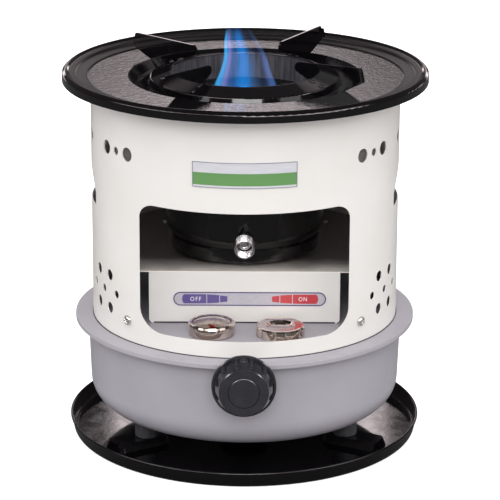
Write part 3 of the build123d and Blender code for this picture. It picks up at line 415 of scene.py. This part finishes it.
# pieces whose surface differs from what their kind of finish gives elsewhere
smoothEnamel = blackVitreousEnamel("smoothVitreousEnamel", 0.06)
ownFinishes = {name: smoothEnamel for name in nodes if name.startswith("pot_support")}
ownFinishes["base_tray"] = smoothEnamel
ownFinishes["drum_rivets"] = finishes["black_enamel"]
ownFinishes["trivet_ring"] = sootedEnamel()
ownFinishes["top_tray"] = blackVitreousEnamel("ledgedVitreousEnamel", ledged=True)
# steel dipped in molten aluminium: pale, clouded and half matt
ownFinishes["heat_shield"] = evenFinish(
    "aluminisedSteel", "#c4bfba", "#b2ada8", (0.42, 0.58), grainMm=2.0, Metallic=0.3
)
for name, finish in ownFinishes.items():
    nodes[name].data.materials[0] = finish
print("materials set:", len(finishes), "finishes, and another on", len(ownFinishes), "pieces")

# Shapes computed from points in millimetres.


def fullTurn(steps):
    # that many angles, evenly round a circle
    return np.linspace(0, 2 * pi, steps, endpoint=False)


def shell(points, poles=None):
    # a grid of points whose columns close on themselves; its rows close up too, or end on two poles
    rows, columns = points.shape[:2]
    here = np.arange(rows * columns).reshape(rows, columns)
    aside = np.roll(here, -1, axis=1)
    quads = np.stack([here, aside, np.roll(aside, -1, axis=0), np.roll(here, -1, axis=0)], axis=2)
    vertices = points.reshape(-1, 3)
    if poles is None:
        return vertices, quads.reshape(-1, 4).tolist()
    low, high = rows * columns, rows * columns + 1
    faces = quads[:-1].reshape(-1, 4).tolist()
    faces += [(low, after, before) for before, after in zip(here[0].tolist(), aside[0].tolist())]
    faces += [(high, before, after) for before, after in zip(here[-1].tolist(), aside[-1].tolist())]
    return np.vstack([vertices, poles]), faces


def slab(outline, front, back):
    # a flat shape given by its outline in x and z, anticlockwise seen from the front, between two y values
    outline = np.asarray(outline)
    count = len(outline)
    layers = [np.stack([outline[:, 0], np.full(count, y), outline[:, 1]], axis=1) for y in (front, back)]
    faces = [list(range(count)), list(range(2 * count - 1, count - 1, -1))]
    faces += [[i, i + count, (i + 1) % count + count, (i + 1) % count] for i in range(count)]
    return np.vstack(layers), faces


def joined(shapes):
    # several shapes as one
    vertices, faces, first = [], [], 0
    for points, shapeFaces in shapes:
        vertices.append(np.asarray(points))
        faces += [[index + first for index in face] for face in shapeFaces]
        first += len(points)
    return np.vstack(vertices), faces


def addPiece(name, shape, body, material, smooth=True):
    # makes a mesh object of a shape in millimetres and lets it ride on a body
    points, faces = shape
    mesh = bpy.data.meshes.new(name)
    mesh.from_pydata((np.asarray(points) * mm).tolist(), [], faces)
    mesh.polygons.foreach_set("use_smooth", [smooth] * len(mesh.polygons))
    mesh.materials.append(material)
    piece = bpy.data.objects.new(name, mesh)
    bpy.context.scene.collection.objects.link(piece)
    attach(piece, body)
    return piece


def meshPoints(mesh):
    # the places of a mesh's vertices, one in each row
    points = np.empty(3 * len(mesh.vertices))
    mesh.vertices.foreach_get("co", points)
    return points.reshape(-1, 3)


def wordShape(text, size, depth, spacing=1.0):
    # letters as a mesh: x to the right, y up and z their thickness, in millimetres, centred on the word
    curve = bpy.data.curves.new("word", "FONT")
    curve.body = text
    curve.size = size
    curve.extrude = depth / 2
    curve.resolution_u = 6
    curve.space_character = spacing
    curve.align_x = "CENTER"
    curve.align_y = "CENTER"
    holder = bpy.data.objects.new("word", curve)
    bpy.context.scene.collection.objects.link(holder)
    mesh = bpy.data.meshes.new_from_object(holder)
    points = meshPoints(mesh)
    faces = [list(polygon.vertices) for polygon in mesh.polygons]
    bpy.data.objects.remove(holder)
    bpy.data.meshes.remove(mesh)
    bpy.data.curves.remove(curve)
    return points, faces


def sized(shape, width, height):
    # the same letters brought to a width and a height
    points, faces = shape
    low, high = points.min(axis=0), points.max(axis=0)
    middle = (low + high) / 2
    scale = np.array([width, height, high[2] - low[2]]) / (high - low)
    return (points - middle) * scale, faces


# The flame, a trumpet of burning vapour that rises from the wick through the gap between the burner's
# tubes and draws together over the hole. Its foot is a ring, and it leans a little to the left as it rises.

flame = {"tip": 355.0, "innerPole": 304.0, "rows": 160, "columns": 96, "deep": 0.92, "flutes": 0.05}
flame.update({"riseFrom": 300.0, "drift": 1.2, "lean": 5.2, "leanFrom": 326.0, "glow": 0.5, "tipFade": 9.0})
flame.update({"thinFrom": (0.5, 0.62), "thinned": 0.4, "thinHeights": (326.0, 336.0)})


def flameProfile():
    # radius and height in millimetres, at even steps along the line from the pole inside the trumpet down to
    # the foot and up to the tip
    knots = np.array(
        [
            (3, 303), (12, 301.5), (21, 298), (28.6, 293), (29, 289), (28.9, 284), (26.5, 276), (24.5, 262),
            (23.4, 235), (22.9, 205), (23.4, 199.2), (25.2, 199.2), (26.2, 206), (29.2, 226), (30.6, 250),
            (31, 285), (30.2, 292), (28.4, 300), (25.9, 306), (23.2, 312), (21.3, 317), (19.8, 322),
            (17.8, 330), (15.6, 338), (13.2, 345), (11.2, 350), (10.2, 353.5), (6, 354.6),
        ]
    )
    steps = np.concatenate([[0], np.cumsum(np.hypot(*np.diff(knots, axis=0).T))])
    even = np.linspace(0, steps[-1], flame["rows"])
    return np.stack([np.interp(even, steps, knots[:, i]) for i in (0, 1)], axis=1)


def flameShape():
    # each row is a ring of the profile's radius with shallow flutes, about a centre that moves to the left by
    # drift * rise + lean * (3 bend^2 - 2 bend^3), where rise and bend grow from 0 to 1 with the height
    profile = flameProfile()
    turn = fullTurn(flame["columns"])
    radius, height = profile[:, :1], profile[:, 1:]
    rise = np.clip((height - flame["riseFrom"]) / (flame["tip"] - flame["riseFrom"]), 0, 1)
    bend = np.clip((height - flame["leanFrom"]) / (flame["tip"] - flame["leanFrom"]), 0, 1)
    lean = -flame["drift"] * rise - flame["lean"] * bend**2 * (3 - 2 * bend)
    wave = np.sin(3 * turn + 2.5 * rise) + 0.5 * np.sin(8 * turn)
    fluted = radius * (1 + flame["flutes"] * rise * wave)
    x, y = lean + fluted * np.cos(turn), flame["deep"] * fluted * np.sin(turn)
    points = np.stack([x, y, height + 0 * turn], axis=2)
    return shell(points, [(0, 0, flame["innerPole"]), (-flame["lean"], 0, flame["tip"])])


def blueFlame():
    # burning kerosene vapour: it only adds light, in bands from left to right, and fades at the tip, where
    # its right part thins out first
    material = bpy.data.materials.new("blueFlame")
    material.use_nodes = True
    tree = material.node_tree
    tree.nodes.clear()
    share = addNode(tree, "Attribute", attribute_name="share").outputs["Fac"]
    height = addNode(tree, "SeparateXYZ", [objectPlace(tree)]).outputs["Z"]
    bands = [
        (0.0, "#2379b8"), (0.045, "#3ba6e2"), (0.1, "#2f80c6"), (0.15, "#8070b4"), (0.2, "#2c5a9a"),
        (0.29, "#1d4a80"), (0.37, "#1268b4"), (0.46, "#1078cc"), (0.55, "#146cb8"), (0.63, "#2a4a74"),
        (0.71, "#233654"), (0.79, "#0c1624"), (0.87, "#1c3054"), (0.94, "#405c98"), (1.0, "#284e86"),
    ]
    colour = addNode(tree, "ValToRGB", {"Fac": share})
    setStops(colour, bands)
    top = flame["tip"] * mm
    fade = addNode(tree, "MapRange", [height, top - flame["tipFade"] * mm, top, flame["glow"], 0.0])
    right = addNode(tree, "MapRange", [share, *flame["thinFrom"], 1.0, flame["thinned"]])
    high = addNode(tree, "MapRange", [height, *(edge * mm for edge in flame["thinHeights"])])
    thin = addNode(tree, "Mix", {0: high, 2: 1.0, 3: right})
    strength = addNode(tree, "Math", [fade, thin], operation="MULTIPLY")
    glow = addNode(tree, "Emission", {"Color": colour, "Strength": strength})
    both = addNode(tree, "AddShader", [glow, addNode(tree, "BsdfTransparent")])
    addNode(tree, "OutputMaterial", {"Surface": both})
    return material


def shareAcross(points):
    # each point's share of the way across its ring, from left to right, which the flame's bands follow
    across = points[:, 0]
    rings = np.round(points[:, 2] / mm, 2)
    share = np.full(len(across), 0.5)
    for level in np.unique(rings):
        ring = rings == level
        span = np.ptp(across[ring])
        if span > mm:
            share[ring] = (across[ring] - across[ring].min()) / span
    return share.astype(np.float32)


flamePiece = addPiece("flame", flameShape(), "burner", blueFlame())
shares = shareAcross(meshPoints(flamePiece.data))
flamePiece.data.attributes.new("share", "FLOAT", "POINT").data.foreach_set("value", shares)
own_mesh(flamePiece)
print("flame:", len(flamePiece.data.polygons), "faces")

# The print on the control label: an outline, two tapering bars of blocks, and the words OFF and ON.

labelPrint = {"centre": (4.4, 139.6), "film": -75.25, "ink": 0.05, "outline": (128.0, 12.2), "line": 0.95}
labelPrint.update({"letterSize": 5.0, "letterHeight": 3.7, "letterLift": 0.03, "steps": 96})
# each block's start, end and heights there, and how far its round end bulges
offBlocks = [(-36.3, -54.4, 8.0, 8.2, 2.2), (-35.6, -25.5, 8.0, 6.6), (-24.8, -18.7, 6.2, 4.7)]
onBlocks = [(36.2, 55.2, 8.0, 8.2, 2.2), (35.5, 25.6, 8.0, 6.6), (24.9, 18.8, 6.2, 4.7)]
# each word's widening between letters, its width and its middle
words = {"OFF": (1.3, 9.0, -45.2), "ON": (1.2, 6.8, 44.5)}


def printInk(name, light, dark):
    # screen printed ink: a thin even coat with a soft gloss
    return evenFinish(name, light, dark, (0.3, 0.4), grainMm=1.5, depthMm=0.003)


def stadiumLine():
    # a line of that width along an outline with half round ends, as a closed tube of rectangular section:
    # x = reach * sign(cos) + (radius - inset) * cos, z = (radius - inset) * sin
    length, height = labelPrint["outline"]
    radius = height / 2
    reach = length / 2 - radius
    turn = fullTurn(labelPrint["steps"]) + pi / labelPrint["steps"]
    side = np.sign(np.cos(turn))
    inset = np.array([0, labelPrint["line"], labelPrint["line"], 0])[:, None]
    depth = np.array([0, 0, labelPrint["ink"], labelPrint["ink"]])[:, None]
    x = side * reach + (radius - inset) * np.cos(turn) + labelPrint["centre"][0]
    z = (radius - inset) * np.sin(turn) + labelPrint["centre"][1]
    return shell(np.stack([x, labelPrint["film"] - depth + 0 * x, z], axis=2))


def block(start, end, startHeight, endHeight, roundEnd=0.0):
    # a tapering block between two x values on the label; a round end bulges by that many millimetres
    way = 1 if end > start else -1
    corners = [(start, -startHeight / 2), (end, -endHeight / 2)]
    if roundEnd:
        arc = np.linspace(-pi / 2, pi / 2, 15)[1:-1]
        corners += [(end + way * roundEnd * cos(a), endHeight / 2 * sin(a)) for a in arc]
    corners += [(end, endHeight / 2), (start, startHeight / 2)]
    points = np.array(corners)[::way] + labelPrint["centre"]
    return slab(points, labelPrint["film"] - labelPrint["ink"], labelPrint["film"])


def labelWord(text):
    # letters stood upright on the ink
    spacing, width, middle = words[text]
    letters = wordShape(text, labelPrint["letterSize"], labelPrint["ink"], spacing)
    points, faces = sized(letters, width, labelPrint["letterHeight"])
    x = points[:, 0] + middle + labelPrint["centre"][0]
    z = points[:, 1] + labelPrint["centre"][1]
    y = labelPrint["film"] - labelPrint["ink"] - labelPrint["letterLift"] - points[:, 2]
    return np.stack([x, y, z], axis=1), faces


violetInk = printInk("violetInk", "#5f5490", "#594e8a")
outlineInk = printInk("outlineInk", "#443a6c", "#3f3566")
redInk = printInk("redInk", "#c2424a", "#bb3c45")
whiteInk = printInk("whiteInk", "#f3f1f4", "#e9e7eb")
addPiece("labelOutline", stadiumLine(), "stove", outlineInk, smooth=False)
addPiece("offBlocks", joined([block(*sizes) for sizes in offBlocks]), "stove", violetInk, smooth=False)
addPiece("onBlocks", joined([block(*sizes) for sizes in onBlocks]), "stove", redInk, smooth=False)
addPiece("offWord", labelWord("OFF"), "stove", whiteInk, smooth=False)
addPiece("onWord", labelWord("ON"), "stove", whiteInk, smooth=False)
print("label printed")

# The casing's screws: pan heads with a cross recess, and their shanks through the sheet.

screws = {"height": 125.0, "azimuths": (47.7, 132.3, -132.3, -47.7), "turned": (20, 35), "casing": 131.25}
shank = {"radius": 1.9, "length": 8.0, "point": 0.8}
screwHead = {"radius": 4.3, "height": 2.7, "rim": 0.25, "bevel": 0.2, "sides": 64, "rows": 26}
cross = {"length": 2.5, "width": 0.75, "depth": 1.7, "flanks": (1.6, 2.2), "over": 0.3}


def crossHeadScrew():
    # the shank's radius to its length, then a dome of height h * (1 - (r / R)^3)^0.5 less the recess, which
    # is the deeper the nearer a point lies to the middle of either bar of the cross
    turn = fullTurn(screwHead["sides"])
    head, tall = screwHead["radius"], screwHead["height"]
    thick, length, point = shank["radius"], shank["length"], shank["point"]
    foot = [(point, -length), (thick, point - length), (thick, -length / 2), (thick, 0.0)]
    foot.append((head - screwHead["bevel"], 0.0))
    shares = np.linspace(1, 0.02, screwHead["rows"])
    dome = [(head * share, max(tall * (1 - share**3) ** 0.5, screwHead["rim"])) for share in shares]
    radius, height = np.array(foot + dome).T[:, :, None]
    along, aside = radius * np.cos(turn), radius * np.sin(turn)
    steep, steeper = cross["flanks"]
    bars = [
        np.clip(steep * (1 - np.abs(over) / cross["width"]), 0, 1)
        * np.clip(steeper * (1 - np.abs(out) / cross["length"]), 0, 1)
        for over, out in ((along, aside), (aside, along))
    ]
    recess = cross["depth"] * np.maximum(*bars) * (height > cross["over"])
    poles = [(0, 0, -length), (0, 0, tall - cross["depth"])]
    return shell(np.stack([along, aside, height - recess], axis=2), poles)


def screwsInCasing():
    # the same screw at each azimuth, pointing away from the middle, and each turned by another angle
    points, faces = crossHeadScrew()
    first, step = screws["turned"]
    shapes = []
    for number, azimuth in enumerate(screws["azimuths"]):
        out = np.array([sin(radians(azimuth)), -cos(radians(azimuth)), 0])
        side = np.cross((0, 0, 1), out)
        spin = radians(first + step * number)
        x = points[:, 0] * cos(spin) - points[:, 1] * sin(spin)
        y = points[:, 0] * sin(spin) + points[:, 1] * cos(spin)
        place = out * screws["casing"] + (0, 0, screws["height"])
        turned = np.outer(x, side) + np.outer(y, (0, 0, 1)) + np.outer(points[:, 2], out)
        shapes.append((place + turned, faces))
    return joined(shapes)


# zinc plate made bright in its bath: paler and smoother than the zinc elsewhere
brightZinc = evenFinish(
    "brightZincPlate", "#dedbd7", "#d0cdc9", (0.2, 0.3), grainMm=1.2, depthMm=0.006, Metallic=0.8
)
screwPiece = addPiece("crossHeadScrews", screwsInCasing(), "stove", brightZinc)
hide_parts("casing_screws")

# Weld beads where the pot supports meet the ring: lumpy drops along the plates' feet.

welds = {"radius": 1.15, "angles": (55.5, 145.5, 235.5, 325.5), "aside": 1.15, "rows": 18, "sides": 14}
welds.update({"ripple": 0.12, "ripples": 26})
# each bead's start and end, as the distance from the middle and the height
weldRuns = [((64.2, 319.6), (70.5, 317.5)), ((83.6, 307.6), (88.6, 307.6)), ((74.5, 316.1), (79.0, 314.8))]


def weldBead(start, end):
    # a tube along a line: radius R * (1 - |2t - 1|^4)^0.5, with ripples along it, closed by its poles
    start, end = np.array(start), np.array(end)
    share = np.linspace(0.03, 0.97, welds["rows"])[:, None, None]
    turn = fullTurn(welds["sides"])[None, :, None]
    along = (end - start) / np.linalg.norm(end - start)
    first = np.cross(along, (0.3, 0.2, 1.0))  # square to the line, as second is to both
    first /= np.linalg.norm(first)
    second = np.cross(along, first)
    ripple = 1 + welds["ripple"] * np.sin(welds["ripples"] * share)
    swell = welds["radius"] * np.sqrt(1 - np.abs(2 * share - 1) ** 4) * ripple
    points = start + share * (end - start) + swell * (np.cos(turn) * first + np.sin(turn) * second)
    return shell(points, [start, end])


def supportWelds():
    # the same beads on both faces of each pot support
    beads = []
    for angle in welds["angles"]:
        out = np.array([cos(radians(angle)), sin(radians(angle)), 0])
        aside = np.array([-out[1], out[0], 0])
        for side in (-1, 1):
            for (startRadius, startHeight), (endRadius, endHeight) in weldRuns:
                shift = side * welds["aside"] * aside
                start = out * startRadius + shift + (0, 0, startHeight)
                end = out * endRadius + shift + (0, 0, endHeight)
                beads.append(weldBead(start, end))
    return joined(beads)


addPiece("supportWelds", supportWelds(), "trivet", smoothEnamel)

# Marks on the fuel gauge's dial: strokes round it and plain numbers.

dial = {"centre": (-27.0, -102.0), "height": 123.12, "steps": 8, "empty": -48.0, "sweep": 259.0}
dial.update({"numbers": 9.6, "numberSize": 4.2, "numberDepth": 0.05, "ink": 0.06, "outer": 15.6})
# for the long and for the short strokes, where they begin and half their width
dial.update({"long": (12.6, 0.35), "short": (13.8, 0.2)})


def dialStroke(angle, inner, width):
    # a flat bar on the dial, pointing away from its middle
    outer = dial["outer"]
    out = np.array([cos(radians(angle)), sin(radians(angle))])
    aside = np.array([-out[1], out[0]])
    corners = [out * inner - aside * width, out * outer - aside * width]
    corners += [out * outer + aside * width, out * inner + aside * width]
    levels = (dial["height"], dial["height"] + dial["ink"])
    points = np.array([(*(corner + dial["centre"]), level) for level in levels for corner in corners])
    faces = [[3, 2, 1, 0], [4, 5, 6, 7]] + [[i, (i + 1) % 4, (i + 1) % 4 + 4, i + 4] for i in range(4)]
    return points, faces


def dialMarks():
    # strokes at even steps from empty to full, and a plain number inside every second one
    shapes = []
    for step in range(dial["steps"] + 1):
        angle = dial["empty"] + dial["sweep"] * step / dial["steps"]
        shapes.append(dialStroke(angle, *dial["short" if step % 2 else "long"]))
        if step % 2 == 0:
            points, faces = wordShape(str(step // 2), dial["numberSize"], dial["numberDepth"])
            place = np.array([cos(radians(angle)), sin(radians(angle))]) * dial["numbers"] + dial["centre"]
            shapes.append((points + (*place, dial["height"] + dial["ink"]), faces))
    return joined(shapes)


blackInk = printInk("blackInk", "#2a282b", "#222023")
addPiece("dialMarks", dialMarks(), "stove", blackInk, smooth=False)

# A thin black ring of painted shade where the casing's foot meets the tank's brim: it stands in for the
# shadow in the joint.

paintedShadeRing = {"radius": 131.35, "height": 106.85, "thickness": 0.9, "steps": 180, "sides": 10}


def paintedShadeRingShape():
    # the painted shade ring's round section, carried round the casing on a circle
    turn = fullTurn(paintedShadeRing["steps"])[None, :]
    around = fullTurn(paintedShadeRing["sides"])[:, None]
    radius = paintedShadeRing["radius"] + paintedShadeRing["thickness"] / 2 * np.cos(around)
    height = paintedShadeRing["height"] + paintedShadeRing["thickness"] / 2 * np.sin(around)
    return shell(np.stack([radius * np.cos(turn), radius * np.sin(turn), height + 0 * turn], axis=2))


# the ring of painted shade, in the dark rubber finish
addPiece("paintedShadeRing", paintedShadeRingShape(), "stove", finishes["gasket_rubber"])

# A thin dark strip of painted shade under the panel, where it stands on the tank: it stands in for the shadow
# in the gap.

paintedShadeStrip = {"reach": 76.0, "low": 118.25, "high": 119.35, "front": -75.35, "back": -75.0}


def paintedShadeStripShape():
    # a long box of painted shade
    reach, low, high = paintedShadeStrip["reach"], paintedShadeStrip["low"], paintedShadeStrip["high"]
    corners = [(-reach, low), (reach, low), (reach, high), (-reach, high)]
    return slab(corners, paintedShadeStrip["front"], paintedShadeStrip["back"])


# the strip of painted shade, in the dark rubber finish
addPiece("paintedShadeStrip", paintedShadeStripShape(), "stove", finishes["gasket_rubber"], smooth=False)
print("pieces made")

# The studio: a pale floor that keeps the shadow, a white surround, and soft lamps.

floorLook = {"halfSize": 30.0, "colour": "#f4f4f4", "lift": 0.5, "bounce": "#a3a1a3", "mirrored": 0.08}


def studioFloor():
    # the camera sees it pale and a little lifted, other surfaces get duller light from it, and gleaming ones
    # mirror it dark
    size = floorLook["halfSize"]
    mesh = bpy.data.meshes.new("studioFloor")
    corners = [(-size, -size, 0), (size, -size, 0), (size, size, 0), (-size, size, 0)]
    mesh.from_pydata(corners, [], [(0, 1, 2, 3)])
    floor = bpy.data.objects.new("studioFloor", mesh)
    bpy.context.scene.collection.objects.link(floor)
    material, tree, shader = newMaterial("paleStudioFloor", Roughness=0.9, Specular_IOR_Level=0.1)
    rays = addNode(tree, "LightPath").outputs
    bounce, dark = linearColour(floorLook["bounce"]), [floorLook["mirrored"]] * 3 + [1.0]
    unseen = addNode(tree, "Mix", {0: rays["Is Glossy Ray"], 6: bounce, 7: dark}, data_type="RGBA")
    pale = {0: rays["Is Camera Ray"], 6: unseen, 7: linearColour(floorLook["colour"])}
    lift = addNode(tree, "Math", [rays["Is Camera Ray"], floorLook["lift"]], operation="MULTIPLY")
    white = {"Emission Color": (1, 1, 1, 1), "Emission Strength": lift}
    connect(tree, shader, {"Base Color": addNode(tree, "Mix", pale, data_type="RGBA"), **white})
    mesh.materials.append(material)


# the light on surfaces that don't gleam: its strength all round, overhead, and added at the sides
softLight = {"surround": 0.58, "overhead": 1.55, "rise": (0.62, 0.8), "sides": 1.15}
softLight.update({"tint": (1, 0.99, 0.98, 1)})
# What gleaming surfaces mirror: a dim room, a light bank low behind the object with a pair of narrow lights
# above it and a pale wing on either side, and a band of light round the front. Heights are four soft edges in
# degrees, and aside holds soft edges sideways, where 0 is the middle and 1 the far left or right. The bank
# grows weaker outwards, and from left to right.
room = {"behind": 0.08, "front": 0.07, "tint": (1.0, 0.88, 0.9, 1.0)}
room.update({"frontEdges": (-0.1, 0.2), "backEdges": (0.3, 0.5)})
bank = {"strength": 2.75, "heights": (12.5, 16.0, 18.6, 20.0), "aside": (0.09, 0.12)}
bank.update({"fade": (0.015, 0.06, 1.0, 0.4), "slant": (-0.06, 0.06, 1.12, 0.75)})
pair = {"strength": 3.2, "heights": (19.5, 21.0, 24.0, 26.0), "aside": (0.035, 0.041, 0.051, 0.055)}
wings = {"strength": 2.7, "heights": (1.5, 4.0, 6.5, 9.0), "aside": (0.14, 0.2, 0.5, 0.6)}
band = {"strength": 7.0, "heights": (26.0, 30.0, 38.0, 42.0)}


def studioSurround():
    # the world: white to the camera, the mirrored lights to gleaming surfaces, and to the rest soft light,
    # whose strength goes from surround to overhead with the height, plus sides * x^2
    world = bpy.data.worlds.new("studioSurround")
    bpy.context.scene.world = world
    world.use_nodes = True
    tree = world.node_tree
    tree.nodes.clear()
    parts = addNode(tree, "SeparateXYZ", [addNode(tree, "TexCoord").outputs["Generated"]]).outputs
    aside = addNode(tree, "Math", [parts["X"]], operation="ABSOLUTE")
    levels = softLight["surround"], softLight["overhead"]
    above = addNode(tree, "MapRange", [parts["Z"], *softLight["rise"], *levels])
    squared = addNode(tree, "Math", [aside, aside], operation="MULTIPLY")
    soft = addNode(tree, "Math", [squared, softLight["sides"], above], operation="MULTIPLY_ADD")
    inFront = addNode(tree, "MapRange", [parts["Y"], *room["frontEdges"], 1.0, 0.0])
    atBack = addNode(tree, "MapRange", [parts["Y"], *room["backEdges"]])
    narrow = addNode(tree, "MapRange", [aside, *bank["aside"], 1.0, 0.0])
    fading = addNode(tree, "MapRange", [aside, *bank["fade"]])
    slanted = addNode(tree, "MapRange", [parts["X"], *bank["slant"]])
    lights = [
        (bank, [atBack, narrow, fading, slanted]),
        (pair, [atBack, softBand(tree, aside, pair["aside"])]),
        (wings, [atBack, softBand(tree, aside, wings["aside"])]),
        (band, [inFront]),
    ]
    mirror = addNode(tree, "Mix", {0: inFront, 2: room["behind"], 3: room["front"]})
    for light, shares in lights:
        shape = softBand(tree, parts["Z"], [sin(radians(angle)) for angle in light["heights"]])
        for share in shares:
            shape = addNode(tree, "Math", [shape, share], operation="MULTIPLY")
        mirror = addNode(tree, "Math", [shape, light["strength"], mirror], operation="MULTIPLY_ADD")
    rays = addNode(tree, "LightPath").outputs
    gleam = rays["Is Glossy Ray"]
    strength = addNode(tree, "Mix", {0: gleam, 2: soft, 3: mirror})
    colour = addNode(tree, "Mix", {0: gleam, 6: softLight["tint"], 7: room["tint"]}, data_type="RGBA")
    unseen = addNode(tree, "Background", {"Color": colour, "Strength": strength})
    white = addNode(tree, "Background", {"Color": (1, 1, 1, 1), "Strength": 1.0})
    surround = addNode(tree, "MixShader", [rays["Is Camera Ray"], unseen, white])
    addNode(tree, "OutputWorld", {"Surface": surround})


lampAim = (0.0, 0.0, 0.2)
lamps = {
    "keyLeft": {"at": (-2.0, -1.4, 1.4), "size": (1.1, 1.1), "watts": 7.5},
    "fillRight": {"at": (2.0, -1.4, 1.3), "size": (1.2, 1.2), "watts": 6.5},
    "lowFront": {"at": (0.1, -2.2, 1.3), "size": (1.4, 0.5), "watts": 16.5},
    "highFront": {"at": (0.0, -1.9, 1.7), "size": (1.2, 0.35), "watts": 6},
}


def softLamps():
    # rectangles of light, level from side to side and aimed at the same place above the table
    for name, lamp in lamps.items():
        data = bpy.data.lights.new(name, "AREA")
        data.shape = "RECTANGLE"
        data.size, data.size_y = lamp["size"]
        data.energy = lamp["watts"]
        light = bpy.data.objects.new(name, data)
        bpy.context.scene.collection.objects.link(light)
        place = np.array(lamp["at"])
        away = place - lampAim
        away /= np.linalg.norm(away)
        side = np.cross((0, 0, 1), away)
        side /= np.linalg.norm(side)
        columns = np.stack([side, np.cross(away, side), away, place], axis=1)
        light.matrix_world = Matrix(columns.tolist() + [[0, 0, 0, 1]])


camera = {"place": (0.0045, -2.095, 0.823), "pitch": 17.59, "roll": 0.25, "lens": 183.17, "sensor": 36.0}


def photoCamera():
    # looks along +Y and down by its pitch, rolled a little about its own line of sight
    data = bpy.data.cameras.new("photoCamera")
    data.sensor_width = camera["sensor"]
    data.lens = camera["lens"]
    data.clip_end = 2 * floorLook["halfSize"]
    holder = bpy.data.objects.new("photoCamera", data)
    bpy.context.scene.collection.objects.link(holder)
    tilt = Matrix.Rotation(radians(90 - camera["pitch"]), 4, "X")
    roll = Matrix.Rotation(radians(camera["roll"]), 4, "Z")
    holder.matrix_world = Matrix.Translation(camera["place"]) @ tilt @ roll
    bpy.context.scene.camera = holder


studioFloor()
studioSurround()
softLamps()
photoCamera()
bpy.context.scene.view_settings.view_transform = "Standard"
print("studio, lamps and camera set")
